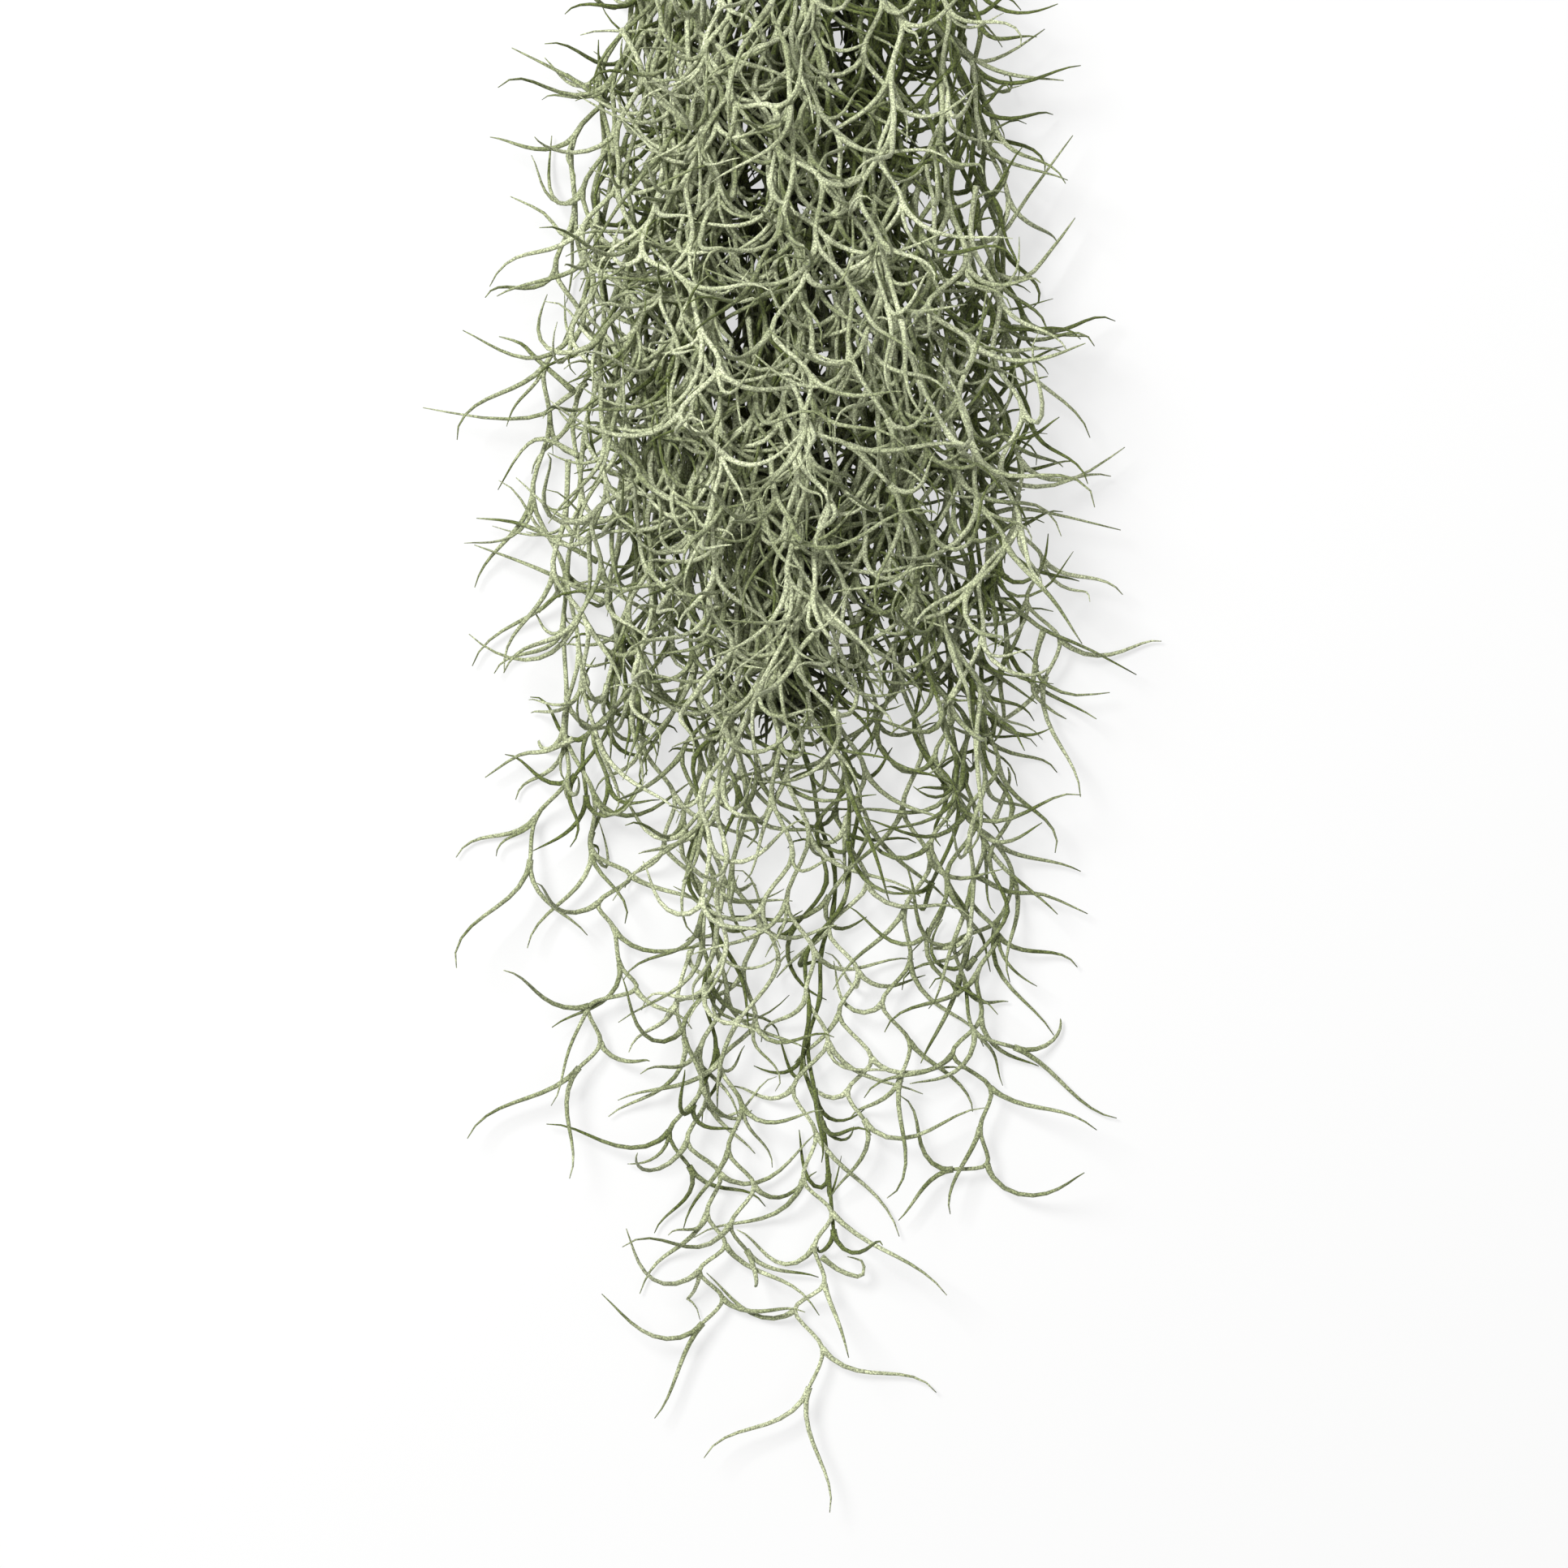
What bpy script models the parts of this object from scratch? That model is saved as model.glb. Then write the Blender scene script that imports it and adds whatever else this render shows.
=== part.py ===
"""A bunch of Spanish moss, lying on a surface as it was picked.

Long zigzag stems run down the bunch from its head. At every bend a stem throws out one thread-like
leaf, which carries on where the stem turned away. A matted heart of old growth lies in the middle.
The head points to +Y, the trailing tips to -Y, and the bunch rests on the plane z = 0.
Lengths in this file are millimetres until a mesh is finished, which is then scaled to metres.
"""

import math
import random

import bmesh
import bpy
import numpy as np
from mathutils import Matrix, Vector

MM = 0.001

# Driving dimensions of one strand
STEM_RADIUS = 0.85
LEAF_RADIUS = 0.68
TIP_RADIUS = 0.2
INTERNODE = 16.5
ZIGZAG = 3.2
LEAF_LENGTH = (20.0, 40.0)
STEM_SIDES = 3
LEAF_SIDES = 3
LEAF_STEPS = 3
SHORT_LEAF_STEPS = 2
CURVE_STEPS = 18

# Middle of the bunch's outline in plan, where the origin is put
MIDDLE = (7.9, -12.9)

# Clear gap kept between two separate strands, and between a strand and the heart
GAP = 0.36
# Furthest a node of a strand is nudged when it would touch a neighbour
NUDGE = 7.0
STEM_TRIES = 80
STRAND_TRIES = 3
LEAF_TRIES = 45
SEED = 27

# Matted heart: place along the bunch, half width and height at a few stations from head to tail
HEART_STATIONS = (
    (222.0, 3.0, 6.0),
    (206.0, 11.0, 16.0),
    (176.0, 19.0, 25.0),
    (130.0, 25.0, 31.0),
    (75.0, 26.0, 31.0),
    (30.0, 21.0, 26.0),
    (-5.0, 13.0, 16.0),
    (-28.0, 4.0, 7.0),
)
HEART_SIDES = 22
HEART_RINGS = 22
HEART_CENTRE = 0.43
HEART_SHIFT = 2.0
HEART_WISPS = 38
WISP_LENGTH = (20.0, 32.0)

# Strands that trail free at the tail: each point is across, along, and lift above what lies below it
TRAILING = {
    "strand_long_tail": (
        (1, 131, 5), (3, 76, 9), (9, 21, 12), (5, -23, 20), (5, -56, 16), (5, -89, 12),
        (11, -111, 8), (6, -137, 6), (10, -159, 6), (12, -177, 5), (7, -194, 4), (11, -213, 4),
    ),
    "strand_left_tail": (
        (-16, 109, 5), (-18, 54, 9), (-20, -1, 14), (-21, -45, 14), (-16, -82, 10),
        (-18, -115, 7), (-23, -142, 6), (-17, -164, 5), (-19, -181, 5), (-18, -196, 4),
    ),
    "strand_mid_tail": (
        (-7, 54, 6), (-10, -12, 18), (-12, -67, 9), (-7, -100, 6), (-14, -129, 9),
        (-10, -155, 9), (-12, -176, 7),
    ),
    "strand_right_tail": (
        (18, 204, 5), (38, 172, 14), (46, 128, 18), (50, 84, 16), (47, 40, 17), (50, -1, 15),
        (50, -40, 10), (54, -74, 8), (57, -98, 7), (50, -120, 6), (58, -142, 5), (50, -156, 4),
    ),
    "strand_right_inner": (
        (26, 54, 5), (35, -1, 12), (36, -45, 9), (38, -78, 7), (31, -106, 6), (35, -128, 5),
    ),
    "strand_right_outer": (
        (31, 92, 5), (57, 32, 9), (58, -23, 6), (53, -56, 12), (61, -78, 4), (48, -100, 9),
        (61, -122, 4),
    ),
    "strand_far_right": (
        (24, 184, 5), (50, 146, 16), (60, 104, 15), (56, 66, 14), (66, 28, 14), (70, 4, 9),
        (76, -18, 5),
    ),
    "strand_left_long": (
        (-13, 206, 5), (-36, 174, 14), (-48, 132, 17), (-47, 92, 16), (-55, 52, 14),
        (-56, 15, 11), (-57, -23, 8), (-53, -56, 6), (-44, -74, 5), (-49, -88, 5),
        (-40, -99, 5), (-51, -113, 5), (-52, -126, 4),
    ),
    "strand_left_outer": (
        (-20, 178, 5), (-44, 146, 12), (-59, 108, 12), (-57, 78, 10), (-66, 50, 8), (-62, 10, 5),
        (-61, -25, 4), (-60, -47, 6), (-70, -68, 4),
    ),
    "strand_left_inner": (
        (-27, 76, 5), (-38, 10, 16), (-35, -34, 9), (-28, -67, 6), (-21, -95, 4), (-29, -117, 4),
    ),
    "strand_mid_right": (
        (17, 82, 5), (19, 32, 8), (17, -23, 16), (22, -60, 10), (16, -93, 7), (22, -120, 5),
        (20, -140, 4),
    ),
    "strand_mid_left": (
        (-18, 40, 5), (-24, -12, 9), (-24, -56, 5), (-19, -90, 14), (-25, -125, 11),
        (-28, -153, 6),
    ),
}

# Strands that cover the heart, shared out round it by rule
COVER_COUNT = 15
COVER_ANGLE = (22.0, 158.0)
COVER_START = (216.0, 60.0)
COVER_LENGTH = (100.0, 170.0)
COVER_LIFT = (5.0, 24.0)
COVER_STEP = 22.0
COVER_FEWEST = 6
LANE_TRIES = 4

MOSS_GREEN = (0.34, 0.38, 0.22, 1.0)
HEART_GREEN = (0.12, 0.14, 0.07, 1.0)


def clear_scene():
    for item in list(bpy.data.objects):
        bpy.data.objects.remove(item)


def smooth_path(points, share):
    """A point on the Catmull-Rom curve through the points; share runs from 0 to 1."""
    place = min(max(share, 0.0), 1.0) * (len(points) - 1)
    first = min(int(place), len(points) - 2)
    t = place - first
    a, b, c, d = (points[min(max(first + k, 0), len(points) - 1)] for k in (-1, 0, 1, 2))
    return 0.5 * (
        2 * b + (c - a) * t + (2 * a - 5 * b + 4 * c - d) * t * t + (3 * b - 3 * c + d - a) * t**3
    )


def heart_size(along):
    """Half width and height of the heart at a place along the bunch."""
    ends = HEART_STATIONS
    if along >= ends[0][0] or along <= ends[-1][0]:
        return None
    for high, low in zip(ends, ends[1:]):
        if along >= low[0]:
            t = (high[0] - along) / (high[0] - low[0])
            s = t * t * (3 - 2 * t)
            return tuple(high[k] + (low[k] - high[k]) * s for k in (1, 2))
    return None


def heart_top(across, along):
    """Height of the heart's upper side at a point in plan, or 0 beside it."""
    size = heart_size(along)
    if size is None:
        return 0.0
    side = (across - HEART_SHIFT) / (size[0] * 1.12)
    if abs(side) >= 1:
        return 0.0
    return size[1] * (HEART_CENTRE + 0.56 * math.sqrt(1 - side * side))


def heart_mesh():
    """A sphere pulled out along Y, ridged like a loosely twisted rope and flat where it lies."""
    bm = bmesh.new()
    bmesh.ops.create_uvsphere(bm, u_segments=HEART_SIDES, v_segments=HEART_RINGS, radius=1.0)
    head, tail = HEART_STATIONS[0][0], HEART_STATIONS[-1][0]
    for vert in bm.verts:
        turn = math.acos(max(-1.0, min(1.0, vert.co.z))) / math.pi
        angle = math.atan2(vert.co.y, vert.co.x)
        along = head + (tail - head) * turn
        if turn < 1e-6 or turn > 1 - 1e-6:
            vert.co = (HEART_SHIFT, along, HEART_STATIONS[0][2] * HEART_CENTRE)
            continue
        half, tall = heart_size(along)
        ridge = 1 + 0.085 * math.cos(8 * angle + 9 * turn) + 0.05 * math.cos(3 * angle - 14 * turn)
        wave = 3.0 * math.sin(7 * turn)
        vert.co = (
            HEART_SHIFT + wave + half * ridge * math.cos(angle),
            along,
            max(0.0, tall * HEART_CENTRE + tall * 0.5 * ridge * math.sin(angle)),
        )
    bm.normal_update()
    bmesh.ops.recalc_face_normals(bm, faces=bm.faces)
    bm.normal_update()
    return bm


class Surface:
    """The heart's faces, cut into triangles, to measure how far a point is from them."""

    def __init__(self, bm):
        corners = [[tuple(loop.vert.co) for loop in tri] for tri in bm.calc_loop_triangles()]
        self.corners = np.array(corners)
        self.edges = np.roll(self.corners, -1, 1) - self.corners
        flat = np.cross(self.edges[:, 0], self.edges[:, 1])
        size = np.sqrt((flat * flat).sum(1))
        keep = size > 1e-6
        self.corners, self.edges = self.corners[keep], self.edges[keep]
        self.normals = flat[keep] / size[keep][:, None]
        self.inward = np.cross(self.normals[:, None, :], self.edges)
        self.lengths = (self.edges**2).sum(2)
        self.low, self.high = self.corners[:, :, 1].min(1), self.corners[:, :, 1].max(1)

    def measure(self, points):
        """Signed distance from each point to the surface, and the nearest place on it."""
        near = (self.low < points[:, 1].max() + 14.0) & (self.high > points[:, 1].min() - 14.0)
        if not near.any():
            return np.full(len(points), 99.0), points
        from_corner = points[:, None, None, :] - self.corners[near][None]
        edges, lengths = self.edges[near][None], self.lengths[near][None]
        share = np.clip((from_corner * edges).sum(3) / lengths, 0, 1)
        to_edge = from_corner - edges * share[..., None]
        edge_away = (to_edge * to_edge).sum(3)
        height = (from_corner[:, :, 0] * self.normals[near][None]).sum(2)
        above = ((from_corner * self.inward[near][None]).sum(3) >= 0).all(2)
        away = np.where(above, np.abs(height), np.sqrt(edge_away.min(2)))
        best = (away - 1e-4 * np.abs(height)).argmin(1)
        rows = np.arange(len(points))
        side = np.where(height[rows, best] >= 0, 1.0, -1.0)
        offset = to_edge[rows, best, edge_away[rows, best].argmin(1)]
        flat = height[rows, best][:, None] * self.normals[near][best]
        offset = np.where(above[rows, best][:, None], flat, offset)
        return away[rows, best] * side, points - offset


class Thicket:
    """Every stem and leaf placed so far, as straight stretches with a radius and an owner."""

    def __init__(self, surface):
        self.surface = surface
        self.starts = np.zeros((0, 3))
        self.ends = np.zeros((0, 3))
        self.radii = np.zeros(0)
        self.owners = np.zeros(0, int)

    def add(self, points, radii, owner):
        pts = np.array([tuple(p) for p in points])
        self.starts = np.vstack((self.starts, pts[:-1]))
        self.ends = np.vstack((self.ends, pts[1:]))
        thick = np.maximum(np.array(radii[:-1]), np.array(radii[1:]))
        self.radii = np.concatenate((self.radii, thick))
        self.owners = np.concatenate((self.owners, np.full(len(pts) - 1, owner)))

    def is_clear(self, points, radii, owner, skip=0):
        """True if these stretches keep their gap to other owners, the heart and the floor."""
        if any(point.z < radius for point, radius in zip(points, radii)):
            return False
        return self.off_others(points, radii, owner) and self.off_heart(points, radii, skip)

    def off_heart(self, points, radii, skip, gap=GAP):
        """True if the stretches keep off the heart; the first may start on it when skip is 1."""
        shares = (0.4, 0.7, 1.0) if skip else (0.0, 0.25, 0.5, 0.75, 1.0)
        samples = [one.lerp(two, t) for one, two in zip(points[:1], points[1:2]) for t in shares]
        samples += [
            one.lerp(two, t) for one, two in zip(points[1:], points[2:]) for t in (0.25, 0.5, 0.75, 1.0)
        ]
        pts = np.array([tuple(p) for p in samples])
        away, _ = self.surface.measure(pts)
        return bool((away > max(radii) + gap).all())

    def off_others(self, points, radii, owner):
        pts = np.array([tuple(p) for p in points])
        thick = max(radii) + GAP
        low, high = pts.min(0) - thick - 1.0, pts.max(0) + thick + 1.0
        near = (
            (self.owners != owner)
            & (np.minimum(self.starts, self.ends) <= high).all(1)
            & (np.maximum(self.starts, self.ends) >= low).all(1)
        )
        if not near.any():
            return True
        starts, ends, thickness = self.starts[near], self.ends[near], self.radii[near]
        for number in range(len(pts) - 1):
            away = stretch_distance(pts[number], pts[number + 1], starts, ends)
            own = max(radii[number], radii[number + 1])
            if (away < thickness + own + GAP).any():
                return False
        return True


def stretch_distance(p, q, starts, ends):
    """Shortest distance from the stretch p to q to each of the others."""
    u, v, w = q - p, ends - starts, p - starts
    a, b, c = (u * u).sum(), (v * u).sum(1), (v * v).sum(1)
    d, e = (w * u).sum(1), (v * w).sum(1)
    denominator = np.maximum(a * c - b * b, 1e-12)
    s = np.clip((b * e - c * d) / denominator, 0, 1)
    t = np.clip((b * s + e) / np.maximum(c, 1e-12), 0, 1)
    s = np.clip((b * t - d) / max(a, 1e-12), 0, 1)
    apart = w + s[:, None] * u - t[:, None] * v
    return np.sqrt((apart * apart).sum(1))


def leaf_curve(root, forward, outward, length, bend):
    """Centreline of a leaf: it leaves along the stem, bends outward and eases back at its tip.

    bend holds, in degrees, the turn outward, the turn back at the tip, and the twist on the way.
    """
    turn, recurve, twist = (math.radians(value) for value in bend)
    across = forward.cross(outward)
    points = [root.copy()]
    place = root.copy()
    for step in range(CURVE_STEPS):
        s = (step + 0.5) / CURVE_STEPS
        angle = turn * math.sin(s * math.pi * 0.62) - recurve * s**2.6
        way_out = outward * math.cos(twist * s) + across * math.sin(twist * s)
        place = place + (forward * math.cos(angle) + way_out * math.sin(angle)) * (length / CURVE_STEPS)
        points.append(place.copy())
    return points


def leaf_bend(rng):
    """A leaf's bends: most arch outward and ease back, some hook over, some hang nearly straight."""
    turn = rng.triangular(20, 140, 75)
    return turn, rng.uniform(-25, 1.1) * turn * 0.01 + rng.uniform(0, 110), rng.uniform(-75, 75)


def settle(points, radius):
    """Lift a curve's points that would pass through the surface the bunch lies on."""
    for point in points:
        if point.z < radius + 2.0:
            point.z = radius + 2.0 * math.exp((point.z - radius - 2.0) / 2.0) + 0.05
    return points


def leaf_radii(count, scale=1.0):
    """Radius at each point: full at the root, thin at the tip."""
    shares = [k / (count - 1) for k in range(count)]
    return [scale * (TIP_RADIUS + (LEAF_RADIUS - TIP_RADIUS) * (1 - s) ** 0.75) for s in shares]


def every(points, steps):
    """The curve's points at equal steps, first and last kept."""
    return [points[round(k * (len(points) - 1) / steps)] for k in range(steps + 1)]


def guide_of(route):
    """A trailing strand's route with each lift measured from what lies below."""
    return [Vector((x, y, heart_top(x, y) + lift)) for x, y, lift in route]


def cover_guide(number, rng):
    """The route of a strand that covers the heart, from its root to where it ends."""
    turn = (0.5 + number * 0.618034) % 1.0
    angle = math.radians(COVER_ANGLE[0] + (COVER_ANGLE[1] - COVER_ANGLE[0]) * turn)
    down = (0.1 + number * 0.7548777) % 1.0
    along = COVER_START[0] + (COVER_START[1] - COVER_START[0]) * down**0.8
    length = rng.uniform(*COVER_LENGTH)
    full_lift = rng.uniform(*COVER_LIFT)
    swing = rng.uniform(-0.3, 0.3)
    points = []
    for step in range(int(length / COVER_STEP) + 1):
        y = along - step * COVER_STEP
        half, tall = heart_size(y) or (6.0, 10.0)
        lift = full_lift * min(1.0, step / 1.5) + 3.0
        bearing = angle + swing * math.sin(step * 0.8)
        reach = 1.0 + lift / max(half, 14.0)
        x = HEART_SHIFT + (half + lift * 1.25) * math.cos(bearing) + 4.0 * math.sin(step * 1.1 + number)
        z = tall * HEART_CENTRE + tall * 0.5 * reach * math.sin(bearing)
        points.append(Vector((x, y, max(z, 3.0 + lift * 0.2))))
    return points


def root_on_heart(guide, surface):
    """The point just clear of the heart's surface where a strand begins, and the way out of it."""
    apart, nearest = surface.measure(np.array([tuple(guide[0])]))
    place = Vector(nearest[0])
    away = (guide[0] - place).normalized() * (1 if apart[0] > 0 else -1)
    return place + away * GAP, away


def grow_stem(guide, owner, rng, thicket):
    """Nodes of a zigzag stem along its guide, kept clear of all that was placed before."""
    root, away = root_on_heart(guide, thicket.surface)
    total = sum((b - a).length for a, b in zip(guide, guide[1:]))
    count = max(3, round(total / INTERNODE))
    nodes = [root, root + away * 3.0]
    sides = []
    plane = rng.uniform(-0.5, 0.5)
    for number in range(1, count + 1):
        share = number / count
        centre = smooth_path(guide, share)
        ahead = (smooth_path(guide, share + 0.02) - smooth_path(guide, share - 0.02)).normalized()
        across = ahead.cross(Vector((0, 0, 1))).normalized()
        up = across.cross(ahead)
        plane = 0.9 * plane + rng.uniform(-0.4, 0.4)
        hand = 1 if number % 2 else -1
        side = (across * math.cos(plane) + up * math.sin(plane)) * hand
        wanted = centre + side * ZIGZAG
        found = None
        for attempt in range(STEM_TRIES):
            reach = NUDGE * attempt / STEM_TRIES
            shift = Vector([rng.uniform(-reach, reach) for _ in range(3)])
            node = settle([wanted + shift], STEM_RADIUS)[0]
            if thicket.is_clear([nodes[-1], node], [STEM_RADIUS] * 2, owner, 1 if number == 1 else 0):
                found = node
                break
        if found is None:
            break
        nodes.append(found)
        sides.append(side)
    return nodes, sides


def stem_radii(count):
    """The stem thins a little towards its growing tip."""
    return [STEM_RADIUS * (1.0 - 0.25 * k / max(count - 1, 1)) for k in range(count)]


def grow_leaf(root, forward, outward, owner, rng, thicket, steps):
    """One leaf that keeps clear of other strands, or None where there is no room."""
    for attempt in range(LEAF_TRIES):
        spread = 0.6 + 1.6 * attempt / LEAF_TRIES
        twist = Matrix.Rotation(rng.uniform(-spread, spread), 3, forward)
        length = rng.uniform(*LEAF_LENGTH) * (1 - 0.35 * attempt / LEAF_TRIES)
        curve = leaf_curve(root, forward, (twist @ outward).normalized(), length, leaf_bend(rng))
        curve = settle(curve, LEAF_RADIUS)
        coarse = every(curve, steps)
        radii = leaf_radii(steps + 1)
        if thicket.is_clear(coarse, radii, owner, 1):
            thicket.add(coarse, radii, owner)
            return curve
    return None


def grow_strand(guide, owner, rng, thicket, steps, fewest=3):
    """Stem nodes and leaf curves of one strand, entered in the thicket, or None if it is short."""
    grown = [grow_stem(guide, owner, rng, thicket) for _ in range(STRAND_TRIES)]
    nodes, sides = max(grown, key=lambda one: len(one[0]))
    if len(sides) < fewest:
        return None
    radii = stem_radii(len(nodes))
    thicket.add(nodes, radii, owner)
    leaves = []
    for number, side in enumerate(sides[:-1]):
        node = nodes[number + 2]
        forward = (node - nodes[number + 1]).normalized()
        outward = (side - forward * side.dot(forward)).normalized()
        leaves.append(grow_leaf(node, forward, outward, owner, rng, thicket, steps))
    end = nodes[-1]
    forward = (end - nodes[-2]).normalized()
    sideways = forward.cross(Vector((0, 0, 1))).normalized()
    for hand in (-1, 1):
        leaves.append(grow_leaf(end, forward, sideways * hand, owner, rng, thicket, steps))
    return nodes, [leaf for leaf in leaves if leaf]


def grow_wisps(rng, thicket, owner):
    """Short leaves that stand out of the heart itself, where there is room for them."""
    wisps = []
    span = (HEART_STATIONS[1][0], HEART_STATIONS[-2][0])
    for number in range(HEART_WISPS):
        along = span[0] + (span[1] - span[0]) * (number + 0.5) / HEART_WISPS
        half, tall = heart_size(along)
        angle = math.radians((number * 67.0) % 170 + 5)
        aim = Vector(
            (HEART_SHIFT + half * math.cos(angle), along, tall * (HEART_CENTRE + 0.5 * math.sin(angle)))
        )
        _, nearest = thicket.surface.measure(np.array([tuple(aim)]))
        place = Vector(nearest[0])
        normal = Vector((math.cos(angle) * tall, 0.0, math.sin(angle) * half)).normalized()
        forward = (normal * 0.8 + Vector((0, -0.75, 0))).normalized()
        outward = (normal - forward * normal.dot(forward)).normalized()
        for _ in range(LEAF_TRIES):
            twist = Matrix.Rotation(rng.uniform(-1.3, 1.3), 3, forward)
            bend = (rng.uniform(5, 40), rng.uniform(0, 50), rng.uniform(-60, 60))
            root = place - normal * 1.6
            curve = leaf_curve(root, forward, twist @ outward, rng.uniform(*WISP_LENGTH), bend)
            coarse = every(curve, SHORT_LEAF_STEPS)
            radii = leaf_radii(len(coarse))
            above = all(p.z > LEAF_RADIUS for p in coarse) and thicket.off_heart(coarse, radii, 1, 0.0)
            if above and thicket.off_others(coarse, radii, owner):
                thicket.add(coarse, radii, owner)
                wisps.append(curve)
                break
    return wisps


def ring_matrix(place, ahead, side, radius):
    """Turns and scales a unit ring to stand across the way ahead."""
    z = ahead.normalized()
    x = (side - z * side.dot(z)).normalized()
    y = z.cross(x)
    turned = Matrix((x, y, z)).transposed().to_4x4()
    return Matrix.Translation(place) @ turned @ Matrix.Scale(radius, 4)


def tube(points, radii, sides, pointed):
    """A closed tube along the points, extruded ring by ring; a pointed one ends in one vertex."""
    bm = bmesh.new()
    ahead = points[1] - points[0]
    side = ahead.orthogonal()
    made = ring_matrix(points[0], ahead, side, radii[0])
    bmesh.ops.create_circle(bm, cap_ends=True, segments=sides, radius=1.0, matrix=made)
    face = bm.faces[:][0]
    for number in range(1, len(points)):
        before = points[number] - points[number - 1]
        after = points[min(number + 1, len(points) - 1)] - points[min(number, len(points) - 2)]
        ahead = before.normalized() + after.normalized()
        side = side - ahead * (side.dot(ahead) / ahead.length_squared)
        placed = ring_matrix(points[number], ahead, side, radii[number])
        grown = bmesh.ops.extrude_face_region(bm, geom=[face])["geom"]
        verts = [item for item in grown if isinstance(item, bmesh.types.BMVert)]
        if number > 1:
            bm.faces.remove(face)
        face = next(item for item in grown if isinstance(item, bmesh.types.BMFace))
        bmesh.ops.transform(bm, matrix=placed @ made.inverted(), verts=verts)
        made = placed
    if pointed:
        bmesh.ops.pointmerge(bm, verts=face.verts, merge_co=points[-1])
    bmesh.ops.recalc_face_normals(bm, faces=bm.faces)
    return bm


def new_object(name, bm, collection=None):
    mesh = bpy.data.meshes.new(name)
    bm.to_mesh(mesh)
    bm.free()
    made = bpy.data.objects.new(name, mesh)
    (collection or bpy.context.scene.collection).objects.link(made)
    return made


def join_repeats(base, repeats):
    """One Boolean union of the base with every repeat, applied, and the repeats removed."""
    if not repeats.objects:
        return
    union = base.modifiers.new("union", "BOOLEAN")
    union.operation = "UNION"
    union.operand_type = "COLLECTION"
    union.collection = repeats
    union.solver = "MANIFOLD"
    bpy.context.view_layer.update()
    graph = bpy.context.evaluated_depsgraph_get()
    joined = bpy.data.meshes.new_from_object(base.evaluated_get(graph))
    base.modifiers.clear()
    base.data = joined
    for item in list(repeats.objects):
        bpy.data.objects.remove(item)


def fused(name, base_bm, leaves, material, steps):
    """A base with its leaves joined to it as one closed body."""
    base = new_object(name, base_bm)
    repeats = bpy.data.collections.new(name + "_leaves")
    bpy.context.scene.collection.children.link(repeats)
    for leaf in leaves:
        points = every(leaf, steps)
        new_object(name + "_leaf", tube(points, leaf_radii(len(points)), LEAF_SIDES, True), repeats)
    join_repeats(base, repeats)
    bpy.data.collections.remove(repeats)
    base.data.materials.clear()
    base.data.materials.append(material)
    return base


def principled(name, colour):
    material = bpy.data.materials.new(name)
    material.use_nodes = True
    shader = material.node_tree.nodes["Principled BSDF"]
    shader.inputs["Base Color"].default_value = colour
    shader.inputs["Roughness"].default_value = 0.85
    shader.inputs["Metallic"].default_value = 0.0
    return material


def centre_on_origin(objects):
    """Scale millimetres to metres, with the middle of the bunch's outline over the origin."""
    shift = Matrix.Translation((-MIDDLE[0], -MIDDLE[1], 0))
    for item in objects:
        item.data.transform(Matrix.Scale(MM, 4) @ shift)


def grow_bunch():
    """Every strand's stem nodes and leaves by name, the heart's wisps, and the heart's mesh."""
    rng = random.Random(SEED)
    heart = heart_mesh()
    thicket = Thicket(Surface(heart))
    strands = {}
    for owner, (name, route) in enumerate(TRAILING.items(), 1):
        strands[name] = grow_strand(guide_of(route), owner, rng, thicket, LEAF_STEPS)
    for number in range(COVER_COUNT):
        owner = len(TRAILING) + 1 + number
        for _ in range(LANE_TRIES):
            guide = cover_guide(number, rng)
            strand = grow_strand(guide, owner, rng, thicket, SHORT_LEAF_STEPS, COVER_FEWEST)
            if strand:
                strands[f"strand_cover_{number + 1:02d}"] = strand
                break
    return strands, grow_wisps(rng, thicket, 0), heart


def main():
    clear_scene()
    strands, wisps, heart = grow_bunch()
    moss = principled("moss", MOSS_GREEN)
    old_moss = principled("old_moss", HEART_GREEN)
    made = [fused("matted_heart", heart, wisps, old_moss, SHORT_LEAF_STEPS)]
    for name, (nodes, leaves) in strands.items():
        stem = tube(nodes, stem_radii(len(nodes)), STEM_SIDES, False)
        steps = LEAF_STEPS if name in TRAILING else SHORT_LEAF_STEPS
        made.append(fused(name, stem, leaves, moss, steps))
    centre_on_origin(made)


main()
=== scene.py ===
"""The looks of a lying bunch of Spanish moss: fine strands, their surface, and a plain studio.

The strands of the solid part are grown again here by the same rules, with round stems and finely
curved leaves, and a tangle of many more strands makes up the bunch between them.
"""

import math
import random

import bmesh
import bpy
import numpy as np
from mathutils import Matrix, Vector


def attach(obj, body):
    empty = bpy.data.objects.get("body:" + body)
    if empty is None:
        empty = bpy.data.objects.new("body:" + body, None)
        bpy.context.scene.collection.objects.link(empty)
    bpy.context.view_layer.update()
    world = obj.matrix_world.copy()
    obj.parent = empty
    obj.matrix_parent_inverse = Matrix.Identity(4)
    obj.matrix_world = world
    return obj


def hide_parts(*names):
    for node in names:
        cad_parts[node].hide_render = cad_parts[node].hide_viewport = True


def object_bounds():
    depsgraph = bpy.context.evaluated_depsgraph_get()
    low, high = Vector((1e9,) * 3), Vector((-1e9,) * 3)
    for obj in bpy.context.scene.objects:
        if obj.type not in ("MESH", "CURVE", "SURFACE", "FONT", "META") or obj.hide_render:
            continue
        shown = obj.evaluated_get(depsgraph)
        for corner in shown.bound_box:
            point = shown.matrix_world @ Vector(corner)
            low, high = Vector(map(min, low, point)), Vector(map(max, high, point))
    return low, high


bl_info = {
    "name": "Spanish moss bunch",
    "version": (1, 0, 0),
    "blender": (4, 5, 0),
    "location": "3D View > Sidebar > Moss",
    "description": "Grows the strands and leaves of a lying bunch of Spanish moss",
    "category": "Add Mesh",
}

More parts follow.
